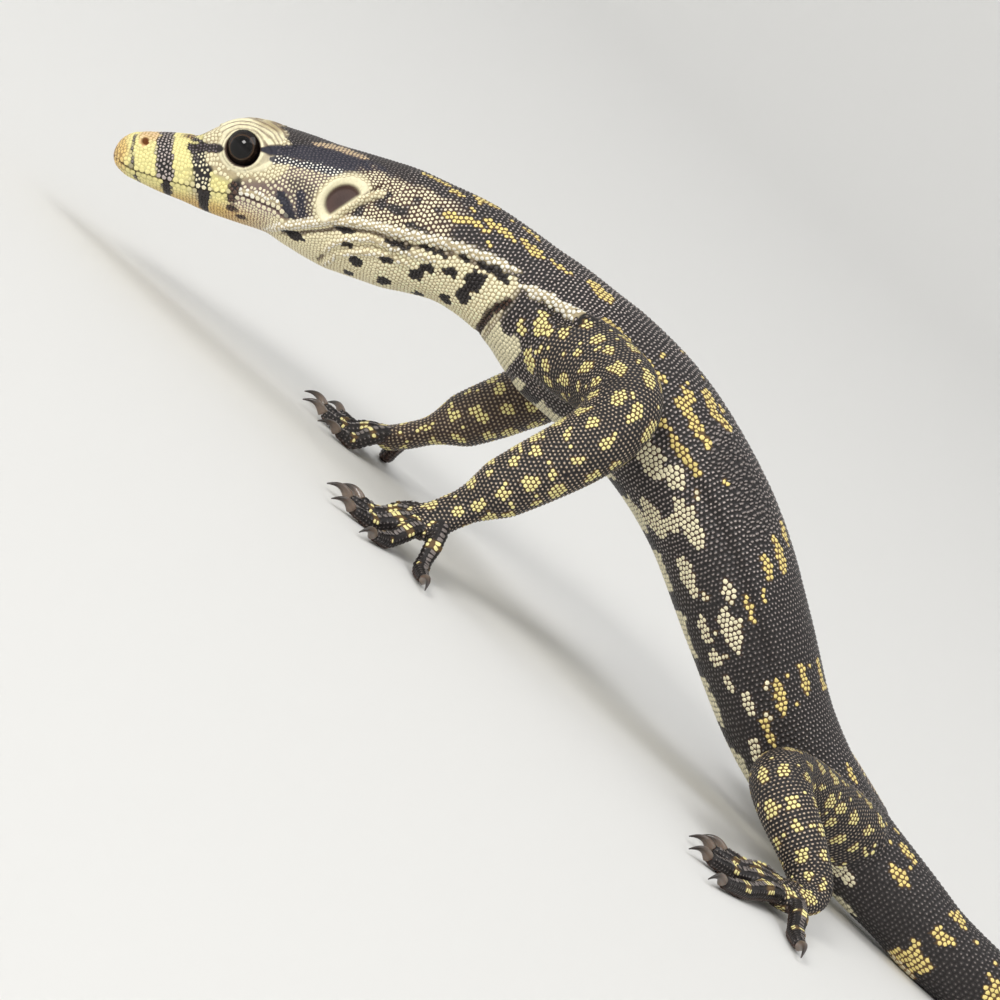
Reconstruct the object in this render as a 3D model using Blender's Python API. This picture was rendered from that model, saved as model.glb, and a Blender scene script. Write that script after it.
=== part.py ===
"""A young water monitor lizard at life size, standing on its four feet with the neck arched.

Metres, +Z up, the head towards -X and the animal's left side towards -Y. The origin lies on the floor
under the middle of the box round the whole animal. Driving sizes below are in millimetres.
"""

import math
from collections import namedtuple

import bmesh
import bpy
import numpy as np
from mathutils import Vector

MM = 0.001
GAP = 0.3            # left between pieces that touch
FLOOR_DIP = 0.18     # how deep soles and tail are set into the floor before they are cut flat
MIDDLE_X = 147.76    # from the snout's tip back to the middle of the animal's box
MIDDLE_Y = 0.14      # from the spine's plane to the middle of the animal's box

# Spine, seen from the side: distance behind the snout's tip, and height over the floor.
SPINE = (
    (0.0, 9.1), (13.0, 16.7), (26.0, 23.0), (39.0, 27.5), (52.0, 28.8), (66.0, 27.7),
    (78.0, 24.1), (90.0, 17.6), (102.0, 10.9), (114.0, 7.1), (126.0, 5.4),
)
VENT = 137.0         # along the spine, where the tail starts
TAIL_LENGTH = 185.0
TAIL_SWAY = 34.0     # degrees that the tail swings to each side
TAIL_WAVES = 0.80    # waves in the tail's whole length

Station = namedtuple("Station", "at half_width rise drop square")
# Body sections: distance along the spine, half width, rise above and drop below the spine, squareness.
BODY = (
    Station(0.0, 2.5, 2.5, 1.9, 2.1),      # snout tip
    Station(2.5, 3.2, 2.95, 2.5, 2.2),     # nostrils
    Station(6.0, 3.3, 3.6, 3.4, 2.3),
    Station(9.0, 3.8, 3.95, 3.95, 2.5),    # hollow before the brow
    Station(11.5, 4.5, 5.6, 4.45, 2.8),
    Station(13.5, 5.0, 6.7, 4.7, 3.0),
    Station(16.0, 5.5, 7.2, 4.9, 3.0),     # eyes and brow ridge
    Station(19.0, 6.3, 7.05, 5.1, 2.7),
    Station(22.0, 7.0, 6.9, 5.9, 2.4),     # jaw muscles
    Station(25.0, 7.3, 6.7, 6.7, 2.2),
    Station(28.0, 7.0, 6.8, 7.15, 2.1),    # ears
    Station(34.0, 6.4, 7.05, 7.1, 2.0),     # throat
    Station(38.0, 6.2, 6.85, 6.5, 2.0),
    Station(42.0, 6.2, 6.85, 6.0, 2.0),
    Station(46.0, 6.5, 6.7, 6.2, 2.0),
    Station(50.0, 7.2, 6.6, 6.8, 2.0),
    Station(54.0, 8.0, 6.9, 8.0, 2.0),     # breast
    Station(58.0, 8.4, 7.1, 8.8, 2.1),     # shoulders
    Station(62.0, 8.5, 7.5, 8.6, 2.1),
    Station(72.0, 8.8, 7.95, 7.8, 2.2),
    Station(80.0, 9.2, 7.85, 7.4, 2.2),    # ribs
    Station(90.0, 9.2, 7.8, 7.2, 2.2),
    Station(100.0, 8.6, 7.2, 6.8, 2.2),
    Station(110.0, 7.6, 6.4, 6.2, 2.1),
    Station(120.0, 6.7, 5.7, 5.7, 2.0),    # hips
    Station(130.0, 5.7, 5.2, 5.3, 2.0),
    Station(137.0, 5.0, 4.8, 4.9, 2.0),    # vent
    Station(150.0, 4.0, 4.5, 4.4, 2.1),
    Station(170.0, 3.2, 4.0, 3.9, 2.1),
    Station(200.0, 2.4, 3.2, 3.1, 2.1),
    Station(240.0, 1.7, 2.3, 2.2, 2.1),
    Station(280.0, 1.15, 1.5, 1.45, 2.0),
    Station(310.0, 0.75, 0.95, 0.9, 2.0),
    Station(322.0, 0.5, 0.6, 0.6, 2.0),    # tail tip
)
SNOUT_ROUND = 2.4    # length over which the snout's tip rounds off
TAIL_ROUND = 1.2

# Where the body is parted across the spine.
HEAD_END = 31.5
NECK_END = 46.5
TORSO_END = 109.0
TAIL_CUTS = (137.0, 182.0, 229.0, 276.0)
TAIL_NODES = ("tail_base", "tail_middle", "tail_end", "tail_tip")

# Head features: along the spine, above it, and out from the middle plane.
EYE = (15.2, 3.7, 3.1)
EYEBALL_R = 2.5
LID_RING_R = 2.5
LID_R = 0.55
LID_OUT = 1.75       # from the eyeball's centre out to the lids
NOSTRIL = (3.6, 2.2, 2.7)
NOSTRIL_R = (0.62, 0.9, 0.5)
NOSTRIL_PITCH = 30.0
EAR = (27.8, 1.25, 7.0)
EAR_R = (2.0, 1.1, 2.3)
LIP_INSET = 0.2      # how far the lower lip lies inside the upper one
JAW_BACK = (20.9, 26.0)  # along the spine, where the lower jaw widens to the cheeks
# Line of the mouth from the snout to its corner, then down to the throat, from the side.
MOUTH = (
    (-3.0, 8.6), (0.5, 9.05), (3.0, 9.45), (6.5, 11.0), (11.0, 13.45), (15.2, 16.3),
    (18.7, 17.6), (20.9, 17.5), (27.4, 15.5), (36.0, 13.0),
)

Limb = namedtuple("Limb", "names side at lift out middle end heading radii joints foot")
Foot = namedtuple("Foot", "palm half_width height knuckle lengths splay thickness")
# A foot's digits run from the inner one, nearest the midline, to the outer one.
HAND = Foot(7.0, 2.9, 1.5, 2.5, (4.8, 6.8, 8.0, 8.2, 6.0), (-46, -20, 4, 30, 72), 0.98)
SOLE = Foot(8.4, 2.7, 1.5, 1.35, (5.4, 8.0, 10.8, 13.2, 8.2), (-34, -14, 5, 24, 66), 1.02)
ARM_RADII = (5.2, 4.6, 4.2, 3.8, 3.0)
LEG_RADII = (5.0, 4.4, 3.6, 3.0, 2.1)
# Middle is the elbow or knee and end the wrist or ankle: behind the snout, outwards, over the floor.
LIMBS = (
    Limb("upper_arm forearm hand left", -1, 57.5, -1.0, 4.4,
         (63.3, 16.0, 27.4), (57.4, 16.6, 8.4), 36.0, ARM_RADII, (0.43, 0.88), HAND),
    Limb("upper_arm forearm hand right", 1, 57.5, -1.4, 4.4,
         (56.6, 15.0, 25.0), (48.6, 15.0, 7.8), 12.0, ARM_RADII, (0.38, 0.88), HAND),
    Limb("thigh shank foot left", -1, 124.0, 0.4, 2.4,
         (103.5, 18.6, 9.6), (116.0, 26.0, 3.4), 36.0, LEG_RADII, (0.50, 0.87), SOLE),
    Limb("thigh shank foot right", 1, 124.0, 0.4, 2.4,
         (107.0, 19.6, 9.4), (121.5, 24.6, 3.4), 44.0, LEG_RADII, (0.50, 0.87), SOLE),
)
CLAW_LENGTH = 2.9
CLAW_R = 0.62
CLAW_TIP_R = 0.15
CLAW_SIZES = (0.90, 0.90, 0.95, 0.95, 0.90)
CLAW_ARCH = 0.55         # how high the claw arches before it hooks down
CLAW_TIP_HEIGHT = 0.28   # over the floor
FLAT_LOW = (-40.0, -120.0, -10.0)   # box below the floor that the soles are cut with
FLAT_HIGH = (380.0, 120.0, 0.0)
HULL_REACH = 16.0    # of the body's stretch that a limb's root is cut back by, each way

# Facets round each kind of piece.
BODY_FACETS = 26
HEAD_FACETS = 30
TAIL_FACETS = 12
LIMB_FACETS = 12
DIGIT_FACETS = 8
CLAW_FACETS = 6
LID_TURNS = 16
LID_FACETS = 6
DIGIT_RINGS = 8
TURN_SHARE = 0.07    # of a line's length, over which a ring's direction is taken on each side

SLATE = (0.035, 0.030, 0.032)
CREAM = (0.72, 0.62, 0.36)
HORN = (0.10, 0.08, 0.07)
EYE_BLACK = (0.012, 0.010, 0.009)


def clear_scene():
    for item in list(bpy.data.objects):
        bpy.data.objects.remove(item)


def material(name, colour, roughness):
    """A Principled BSDF of one colour."""
    made = bpy.data.materials.new(name)
    made.use_nodes = True
    shader = made.node_tree.nodes["Principled BSDF"]
    shader.inputs["Base Color"].default_value = (*colour, 1.0)
    shader.inputs["Roughness"].default_value = roughness
    return made


def through(keys, values, at):
    """A smooth curve through values at keys: cubic Hermite pieces whose slopes never overshoot."""
    keys = np.asarray(keys, float)
    values = np.asarray(values, float)
    step = np.diff(keys)
    slope = np.diff(values) / step
    tangent = np.zeros_like(values)
    same_way = slope[:-1] * slope[1:] > 0
    wide = step[1:] + step[:-1]
    ahead = (step[1:] + wide) / 3.0
    behind = (step[:-1] + wide) / 3.0
    safe_before = np.where(same_way, slope[:-1], 1.0)
    safe_after = np.where(same_way, slope[1:], 1.0)
    tangent[1:-1] = np.where(same_way, wide / (ahead / safe_before + behind / safe_after), 0.0)
    tangent[0] = slope[0]
    tangent[-1] = slope[-1]
    at = np.clip(at, keys[0], keys[-1])
    piece = np.clip(np.searchsorted(keys, at, side="right") - 1, 0, len(step) - 1)
    width = step[piece]
    t = (at - keys[piece]) / width
    return (
        values[piece] * (1 + 2 * t) * (1 - t) ** 2
        + tangent[piece] * width * t * (1 - t) ** 2
        + values[piece + 1] * t * t * (3 - 2 * t)
        + tangent[piece + 1] * width * t * t * (t - 1)
    )


def rounded_path(points, rounds=4):
    """Corner cutting: each side of the path keeps its middle half, so that corners become arcs."""
    points = np.asarray(points, float)
    for _ in range(rounds):
        a = points[:-1] * 0.75 + points[1:] * 0.25
        b = points[:-1] * 0.25 + points[1:] * 0.75
        inner = np.empty((2 * len(a), 3))
        inner[0::2] = a
        inner[1::2] = b
        points = np.vstack([points[:1], inner[1:-1], points[-1:]])
    return points


def lengths_along(points):
    return np.r_[0.0, np.cumsum(np.linalg.norm(np.diff(points, axis=0), axis=1))]


def points_at(path, at):
    """Points of a path at distances along it."""
    along = lengths_along(path)
    return np.stack([np.interp(at, along, path[:, k]) for k in range(3)], axis=1)


def body_path():
    """The spine from the snout to the tail's tip: a smooth arch in the middle plane, then a swaying tail."""
    spine = np.array([(x, 0.0, z) for x, z in SPINE])
    chord = lengths_along(spine)
    fine = np.linspace(0.0, chord[-1], 160)
    arch = np.stack([slope_fit(chord, spine[:, k], fine) for k in range(3)], axis=1)
    start = lengths_along(arch)[-1]
    steps = np.linspace(0.0, VENT + TAIL_LENGTH - start, 240)
    share = np.clip((start + steps - VENT) / TAIL_LENGTH, 0.0, 1.0)
    turn = math.radians(TAIL_SWAY) * np.sin(2 * math.pi * TAIL_WAVES * share)
    step = np.diff(steps, prepend=0.0)
    stations = np.array(BODY)
    drop = through(stations[:, 0], stations[:, 3], start + steps)
    settle = np.clip(steps / 8.0, 0.0, 1.0)
    settle = settle * settle * (3 - 2 * settle)
    first_slope = (arch[-1, 2] - arch[-2, 2]) / np.linalg.norm(arch[-1] - arch[-2])
    falling = arch[-1, 2] + first_slope * steps
    height = falling * (1 - settle) + (drop - FLOOR_DIP) * settle
    tail = np.stack(
        [arch[-1, 0] + np.cumsum(step * np.cos(turn)), np.cumsum(step * np.sin(turn)), height], axis=1
    )
    return np.vstack([arch, tail[1:]])


def slope_fit(keys, values, at):
    """A smooth curve through evenly spread values, whose slope at each is that between its neighbours."""
    slopes = np.gradient(values, keys)
    piece = np.clip(np.searchsorted(keys, at, side="right") - 1, 0, len(keys) - 2)
    width = keys[piece + 1] - keys[piece]
    t = (at - keys[piece]) / width
    return (
        values[piece] * (1 + 2 * t) * (1 - t) ** 2
        + slopes[piece] * width * t * (1 - t) ** 2
        + values[piece + 1] * t * t * (3 - 2 * t)
        + slopes[piece + 1] * width * t * t * (t - 1)
    )


PATH = body_path()
PATH_LENGTH = lengths_along(PATH)[-1]


def body_frames(at):
    """Centre, tangent, side and up of the body at distances along the spine. Side points to the left."""
    centre = points_at(PATH, at)
    ahead = points_at(PATH, np.minimum(at + 0.4, PATH_LENGTH))
    behind = points_at(PATH, np.maximum(at - 0.4, 0.0))
    tangent = ahead - behind
    tangent /= np.linalg.norm(tangent, axis=1)[:, None]
    side = np.cross(tangent, (0.0, 0.0, 1.0))
    side /= np.linalg.norm(side, axis=1)[:, None]
    return centre, tangent, side, np.cross(side, tangent)


def round_off(distance, length):
    """How far a blunt end has opened at a distance from it: a quarter of an ellipse."""
    share = np.clip(distance / length, 0.0, 1.0)
    return np.sqrt(1 - (1 - share) ** 2)


def body_rings(at, facets, grow=0.0):
    """Rings of the body: superellipses, taller above the spine or below it, swollen by grow.

    grow is one amount for all rings, or one for each.
    """
    stations = np.array(BODY)
    wide, rise, drop, square = (through(stations[:, 0], stations[:, k], at) for k in (1, 2, 3, 4))
    open_ = round_off(at, SNOUT_ROUND) * round_off(stations[-1, 0] - at, TAIL_ROUND)
    centre, _, side, up = body_frames(at)
    angle = np.arange(facets) * 2 * math.pi / facets
    cos, sin = np.cos(angle)[None, :], np.sin(angle)[None, :]
    power = 2.0 / square[:, None]
    across = np.sign(cos) * np.abs(cos) ** power * (wide * open_ + grow)[:, None]
    height = np.where(sin > 0, (rise * open_ + grow)[:, None], (drop * open_ + grow)[:, None])
    upward = np.sign(sin) * np.abs(sin) ** power * height
    return centre[:, None, :] + across[..., None] * side[:, None, :] + upward[..., None] * up[:, None, :]


def place(points):
    """From millimetres behind the snout's tip to metres in the animal's own frame."""
    return (np.asarray(points, float) - (MIDDLE_X, MIDDLE_Y, 0.0)) * MM


def rings_object(name, rings):
    """A closed skin over rings of equally many points, with a flat cap on each end."""
    count, facets = rings.shape[:2]
    index = np.arange(count * facets).reshape(count, facets)
    after = np.roll(index, -1, axis=1)
    quads = np.stack([index[:-1], index[1:], after[1:], after[:-1]], axis=-1).reshape(-1, 4)
    faces = [tuple(int(i) for i in quad) for quad in quads]
    faces.append(tuple(int(i) for i in index[0]))
    faces.append(tuple(int(i) for i in index[-1][::-1]))
    mesh = bpy.data.meshes.new(name)
    mesh.from_pydata(place(rings.reshape(-1, 3)).tolist(), [], faces)
    made = bpy.data.objects.new(name, mesh)
    bpy.context.scene.collection.objects.link(made)
    face_outwards(made)
    return made


def face_outwards(made):
    bm = bmesh.new()
    bm.from_mesh(made.data)
    bmesh.ops.recalc_face_normals(bm, faces=bm.faces)
    bm.to_mesh(made.data)
    bm.free()


def body_piece(name, start, end, rings, facets, grow=0.0):
    """The body between two distances along the spine."""
    return rings_object(name, body_rings(np.linspace(start, end, rings), facets, grow))


def line_rings(line, at, wide, thick, side_hint, facets):
    """Rings square to a line at distances along it, the wide axis nearest side_hint at the line's end.

    The wide axis is carried back from there without twist, so pieces cut from one line match.
    """
    along = lengths_along(line)
    near = along[-1] * TURN_SHARE
    tangent = points_at(line, along + near) - points_at(line, along - near)
    tangent /= np.linalg.norm(tangent, axis=1)[:, None]
    sides = np.zeros_like(line)
    side = np.asarray(side_hint, float)
    for k in range(len(line) - 1, -1, -1):
        side = side - tangent[k] * side.dot(tangent[k])
        side = side / np.linalg.norm(side)
        sides[k] = side
    centre = points_at(line, at)
    ahead = np.stack([np.interp(at, along, tangent[:, k]) for k in range(3)], axis=1)
    across = np.stack([np.interp(at, along, sides[:, k]) for k in range(3)], axis=1)
    ahead /= np.linalg.norm(ahead, axis=1)[:, None]
    across -= ahead * (across * ahead).sum(axis=1)[:, None]
    across /= np.linalg.norm(across, axis=1)[:, None]
    ups = np.cross(across, ahead)
    angle = np.arange(facets) * 2 * math.pi / facets
    cos, sin = np.cos(angle), np.sin(angle)
    return (
        centre[:, None, :]
        + (wide[:, None] * cos[None, :])[..., None] * across[:, None, :]
        + (thick[:, None] * sin[None, :])[..., None] * ups[:, None, :]
    )


def boolean(target, operation, other=None, collection=None, solver="EXACT"):
    """Applies one Boolean to the target and removes the objects that it used."""
    step = target.modifiers.new("step", "BOOLEAN")
    step.operation = operation
    step.solver = solver
    if collection is None:
        step.operand_type = "OBJECT"
        step.object = other
    else:
        step.operand_type = "COLLECTION"
        step.collection = collection
    shown = target.evaluated_get(bpy.context.evaluated_depsgraph_get())
    mesh = bpy.data.meshes.new_from_object(shown)
    target.modifiers.clear()
    target.data = mesh
    for used in [other] if collection is None else list(collection.objects):
        bpy.data.objects.remove(used)


def keep_largest(target):
    """Keeps the target's largest closed surface."""
    bm = bmesh.new()
    bm.from_mesh(target.data)
    bm.faces.ensure_lookup_table()
    left = set(bm.faces)
    shells = []
    while left:
        seed = left.pop()
        shell, queue = {seed}, [seed]
        while queue:
            face = queue.pop()
            for edge in face.edges:
                for near in edge.link_faces:
                    if near in left:
                        left.discard(near)
                        shell.add(near)
                        queue.append(near)
        shells.append(shell)
    biggest = max(shells, key=lambda shell: sum(face.calc_area() for face in shell))
    spare = [face for face in bm.faces if face not in biggest]
    if spare:
        bmesh.ops.delete(bm, geom=spare, context="FACES")
    bm.to_mesh(target.data)
    bm.free()


def fuse(name, pieces):
    """Joins closed pieces into one by a single union on a collection of them."""
    first, rest = pieces[0], pieces[1:]
    if rest:
        group = bpy.data.collections.new(name + " pieces")
        for piece in rest:
            group.objects.link(piece)
            bpy.context.scene.collection.objects.unlink(piece)
        bpy.context.scene.collection.children.link(group)
        boolean(first, "UNION", collection=group)
        bpy.data.collections.remove(group)
    keep_largest(first)
    first.name = name
    return first


def box_object(name, low, high):
    """A plain box between two corners, in millimetres behind the snout's tip."""
    bm = bmesh.new()
    bmesh.ops.create_cube(bm, size=1.0)
    low, high = place([low])[0], place([high])[0]
    for vert in bm.verts:
        vert.co = Vector([low[k] + (high[k] - low[k]) * (vert.co[k] + 0.5) for k in range(3)])
    mesh = bpy.data.meshes.new(name)
    bm.to_mesh(mesh)
    bm.free()
    made = bpy.data.objects.new(name, mesh)
    bpy.context.scene.collection.objects.link(made)
    return made


def cut_flat(target):
    """Cuts off what is set below the floor, which leaves small flats at one level."""
    boolean(target, "DIFFERENCE", box_object("floor", FLAT_LOW, FLAT_HIGH))
    keep_largest(target)


def ellipsoid(name, centre, radii, tilt=0.0, segments=20, rings=12):
    """An ellipsoid with its radii along, across and up, pitched about the animal's width."""
    bm = bmesh.new()
    bmesh.ops.create_uvsphere(bm, u_segments=segments, v_segments=rings, radius=1.0)
    turn = math.radians(tilt)
    cos, sin = math.cos(turn), math.sin(turn)
    for vert in bm.verts:
        x, y, z = (vert.co[k] * radii[k] for k in range(3))
        x, z = x * cos - z * sin, x * sin + z * cos
        vert.co = Vector(place([(centre[0] + x, centre[1] + y, centre[2] + z)])[0])
    mesh = bpy.data.meshes.new(name)
    bm.to_mesh(mesh)
    bm.free()
    made = bpy.data.objects.new(name, mesh)
    bpy.context.scene.collection.objects.link(made)
    return made


def body_point(at, above, out, side):
    """A point given along the spine, above it, and out to one side of the middle plane."""
    centre, _, left, up = (v[0] for v in body_frames(np.array([at])))
    outward = left if side < 0 else -left
    return centre + up * above + outward * out


def lid_ring(side):
    """The lids: a ring round the eyeball's front, lying in the side of the head."""
    turns, facets = LID_TURNS, LID_FACETS
    centre = body_point(EYE[0], EYE[1], EYE[2] + LID_OUT, side)
    _, tangent, left, up = (v[0] for v in body_frames(np.array([EYE[0]])))
    around = np.arange(turns) * 2 * math.pi / turns
    about = np.arange(facets) * 2 * math.pi / facets
    spoke = np.cos(around)[:, None] * tangent + np.sin(around)[:, None] * up
    ring = (
        centre
        + spoke[:, None, :] * (LID_RING_R + LID_R * np.cos(about))[None, :, None]
        + left * (LID_R * np.sin(about))[None, :, None]
    )
    index = np.arange(turns * facets).reshape(turns, facets)
    ahead, beside = np.roll(index, -1, axis=0), np.roll(index, -1, axis=1)
    faces = np.stack([index, ahead, np.roll(ahead, -1, axis=1), beside], axis=-1).reshape(-1, 4)
    mesh = bpy.data.meshes.new("lids")
    mesh.from_pydata(place(ring.reshape(-1, 3)).tolist(), [], faces.tolist())
    made = bpy.data.objects.new("lids", mesh)
    bpy.context.scene.collection.objects.link(made)
    face_outwards(made)
    return made


def mouth_cutter(name, shift, above):
    """A prism across the head on one side of the mouth's line, set off from it by shift."""
    line = [(x, z + shift) for x, z in MOUTH]
    far = 60.0 if above else -30.0
    outline = line + [(MOUTH[-1][0], far), (MOUTH[0][0], far)]
    bm = bmesh.new()
    near_side = [bm.verts.new(place([(x, -15.0, z)])[0]) for x, z in outline]
    bottom = bm.faces.new(near_side)
    grown = bmesh.ops.extrude_face_region(bm, geom=[bottom])
    moved = [item for item in grown["geom"] if isinstance(item, bmesh.types.BMVert)]
    bmesh.ops.translate(bm, verts=moved, vec=(0.0, 30.0 * MM, 0.0))
    bmesh.ops.recalc_face_normals(bm, faces=bm.faces)
    mesh = bpy.data.meshes.new(name)
    bm.to_mesh(mesh)
    bm.free()
    made = bpy.data.objects.new(name, mesh)
    bpy.context.scene.collection.objects.link(made)
    return made


def head_stations():
    """Ring places along the head, close together at the rounded tip and the brow."""
    tip = np.array([0.01, 0.12, 0.4, 0.9, 1.6])
    return np.r_[tip, np.linspace(2.5, HEAD_END - GAP / 2, 17)]


def whole_head(name):
    """Head with lids, eye sockets, nostrils and ear cups, before the mouth parts it."""
    head = rings_object(name, body_rings(head_stations(), HEAD_FACETS))
    head = fuse(name, [head, lid_ring(-1), lid_ring(1)])
    for side in (-1, 1):
        socket_r = EYEBALL_R + GAP
        socket = ellipsoid("socket", body_point(*EYE, side), (socket_r,) * 3, segments=14, rings=9)
        boolean(head, "DIFFERENCE", socket)
        nostril = ellipsoid("nostril", body_point(*NOSTRIL, side), NOSTRIL_R, -NOSTRIL_PITCH, 8, 5)
        boolean(head, "DIFFERENCE", nostril)
        ear = ellipsoid("ear cup", body_point(*EAR, side), EAR_R, 0.0, 12, 7)
        boolean(head, "DIFFERENCE", ear)
    return head


def make_head(skin):
    """Skull with upper jaw, and lower jaw with the front of the throat, parted along the mouth."""
    upper = whole_head("head")
    at = head_stations()[1:]
    inset = np.interp(at, JAW_BACK, (-LIP_INSET, 0.0))
    lower = rings_object("lower_jaw", body_rings(at, HEAD_FACETS, inset))
    boolean(upper, "DIFFERENCE", mouth_cutter("below mouth", GAP / 2, above=False))
    boolean(lower, "DIFFERENCE", mouth_cutter("above mouth", -GAP / 2, above=True))
    for made in (upper, lower):
        keep_largest(made)
        finish(made, skin)


def make_eyes(glossy):
    for side, name in ((-1, "eye_left"), (1, "eye_right")):
        finish(ellipsoid(name, body_point(*EYE, side), (EYEBALL_R,) * 3, segments=16, rings=10), glossy)


def make_trunk(skin):
    """Neck, torso, hips and the lengths of the tail, each a stretch of the body."""
    half = GAP / 2
    finish(body_piece("neck", HEAD_END + half, NECK_END - half, 8, BODY_FACETS), skin)
    finish(body_piece("torso", NECK_END + half, TORSO_END - half, 21, BODY_FACETS), skin)
    hips = body_piece("hips", TORSO_END + half, TAIL_CUTS[0] - half, 13, BODY_FACETS)
    cut_flat(hips)
    finish(hips, skin)
    ends = [*TAIL_CUTS[1:], BODY[-1].at]
    for name, start, end in zip(TAIL_NODES, TAIL_CUTS, ends):
        last = end == BODY[-1].at
        at = np.linspace(start + half, end - (0.01 if last else half), 13)
        if last:
            at = np.r_[at[:-1], end - 0.6, end - 0.2, end - 0.01]
        piece = rings_object(name, body_rings(at, TAIL_FACETS))
        cut_flat(piece)
        finish(piece, skin)


def outwards(place_on_side, side):
    """A place given behind the snout, outwards and over the floor, on one side of the animal."""
    back, out, height = place_on_side
    return np.array((back, out * side, height), float)


def heading_vector(degrees, side):
    """A level direction turned outwards from straight ahead."""
    turn = math.radians(degrees)
    return np.array((-math.cos(turn), math.sin(turn) * side, 0.0))


def limb_joints(limb):
    """Root inside the body, elbow or knee, wrist or ankle, and the palm's front end."""
    root = body_point(limb.at, limb.lift, limb.out, limb.side)
    middle = outwards(limb.middle, limb.side)
    end = outwards(limb.end, limb.side)
    sink = limb.end[2] - limb.foot.knuckle
    palm = end + heading_vector(limb.heading, limb.side) * math.sqrt(limb.foot.palm ** 2 - sink ** 2)
    palm[2] = limb.foot.knuckle
    return root, middle, end, palm


def limb_line(limb):
    """The limb's smooth middle line from its root to the palm's front, and its length to the wrist.

    Cutting a corner draws the line in by a quarter of its height there, so the corner starts further out.
    """
    root, middle, wrist, palm = limb_joints(limb)
    corner = middle + (2 * middle - root - wrist) / 6
    line = rounded_path([root, corner, wrist, palm])
    nearest = np.argmin(np.linalg.norm(line - wrist, axis=1))
    return line, lengths_along(line)[nearest]


def limb_radius(limb, at, reach):
    return through(np.linspace(0.0, 1.0, len(limb.radii)), limb.radii, at / reach)


def limb_tube(limb, start, end, rings):
    """Rings of a limb between two distances along its middle line."""
    line, reach = limb_line(limb)
    at = np.linspace(start, end, rings)
    radius = limb_radius(limb, at, reach)
    hint = heading_vector(limb.heading + 90.0, limb.side)
    return line_rings(line, at, radius * 1.04, radius * 0.94, hint, LIMB_FACETS)


def digit_lines(limb):
    """For each digit its level direction, its knuckle and its length."""
    foot, side = limb.foot, limb.side
    _, _, wrist, palm = limb_joints(limb)
    ahead = (palm - wrist) / foot.palm
    across = heading_vector(limb.heading + 90.0, side)
    for k, (length, splay) in enumerate(zip(foot.lengths, foot.splay)):
        place_across = (k / (len(foot.lengths) - 1) - 0.5) * 1.5 * foot.half_width
        back = 1.3 + 1.6 * max(0, k - 3) + 0.7 * max(0, 1 - k)
        knuckle = palm + across * place_across - ahead * back
        yield k, heading_vector(limb.heading + splay, side), knuckle, length + back * 0.6


def digit_path(direction, knuckle, length, thickness, steps):
    """A digit's line: out from the knuckle, humped at its middle joint, and down to the floor."""
    share = np.linspace(0.0, 1.0, steps)
    path = knuckle + direction * (share * length)[:, None]
    lowest = thickness - FLOOR_DIP
    falling = np.clip(share / 0.6, 0.0, 1.0)
    hump = 0.5 * np.sin(math.pi * falling)
    path[:, 2] = lowest + (knuckle[2] - lowest) * (1 - falling * falling * (3 - 2 * falling)) + hump
    return path


def make_foot(limb, name, skin):
    """Palm or sole with its digits, one closed piece, cut flat where it meets the floor."""
    foot = limb.foot
    line, reach = limb_line(limb)
    at = np.linspace(limb.joints[1] * reach + GAP / 2, lengths_along(line)[-1], DIGIT_RINGS)
    share = np.linspace(0.0, 1.0, DIGIT_RINGS)
    start = limb_radius(limb, at[0], reach)
    keys = (0.0, 0.45, 0.85, 1.0)
    wide = through(keys, (start * 1.04, foot.half_width * 0.9, foot.half_width, 1.9), share)
    thick = through(keys, (start * 0.94, foot.height * 1.05, foot.height, 1.0), share)
    hint = heading_vector(limb.heading + 90.0, limb.side)
    pieces = [rings_object("palm", line_rings(line, at, wide, thick, hint, LIMB_FACETS))]
    for _, direction, knuckle, length in digit_lines(limb):
        digit = digit_path(direction, knuckle, length, foot.thickness, DIGIT_RINGS)
        slim = foot.thickness * through((0.0, 0.3, 0.75, 1.0), (1.02, 1.08, 0.92, 0.74), share)
        across = np.cross(direction, (0.0, 0.0, 1.0))
        places = lengths_along(digit)
        pieces.append(rings_object("digit", line_rings(digit, places, slim, slim, across, DIGIT_FACETS)))
    made = fuse(name, pieces)
    cut_flat(made)
    finish(made, skin)


def make_claws(limb, name, horn):
    """One curved claw at the end of each digit, arched and then hooked down to the floor."""
    foot = limb.foot
    for k, direction, knuckle, length in digit_lines(limb):
        line = digit_path(direction, knuckle, length, foot.thickness, DIGIT_RINGS)
        share = np.linspace(0.0, 1.0, 6)
        path = line[-1] + direction * (GAP + share * CLAW_LENGTH * CLAW_SIZES[k])[:, None]
        hook = CLAW_ARCH * np.sin(math.pi * share * 0.9) - (line[-1, 2] - CLAW_TIP_HEIGHT) * share ** 2
        path[:, 2] = line[-1, 2] + hook
        radius = CLAW_R + (CLAW_TIP_R - CLAW_R) * share ** 1.2
        across = np.cross(direction, (0.0, 0.0, 1.0))
        rings = line_rings(path, lengths_along(path), radius * 0.8, radius, across, CLAW_FACETS)
        finish(rings_object(f"claw_{name}_{k + 1}", rings), horn)


def make_limb(limb, skin, horn):
    upper_name, lower_name, foot_name, side_name = limb.names.split()
    _, reach = limb_line(limb)
    elbow, wrist = limb.joints[0] * reach, limb.joints[1] * reach
    upper = rings_object(f"{upper_name}_{side_name}", limb_tube(limb, 0.0, elbow - GAP / 2, 12))
    near = max(limb.at - HULL_REACH, NECK_END + 1.0)
    hull = body_piece("body hull", near, limb.at + HULL_REACH, 14, BODY_FACETS, grow=GAP)
    boolean(upper, "DIFFERENCE", hull)
    keep_largest(upper)
    finish(upper, skin)
    lower = limb_tube(limb, elbow + GAP / 2, wrist - GAP / 2, 12)
    finish(rings_object(f"{lower_name}_{side_name}", lower), skin)
    make_foot(limb, f"{foot_name}_{side_name}", skin)
    make_claws(limb, f"{foot_name}_{side_name}", horn)


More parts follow.
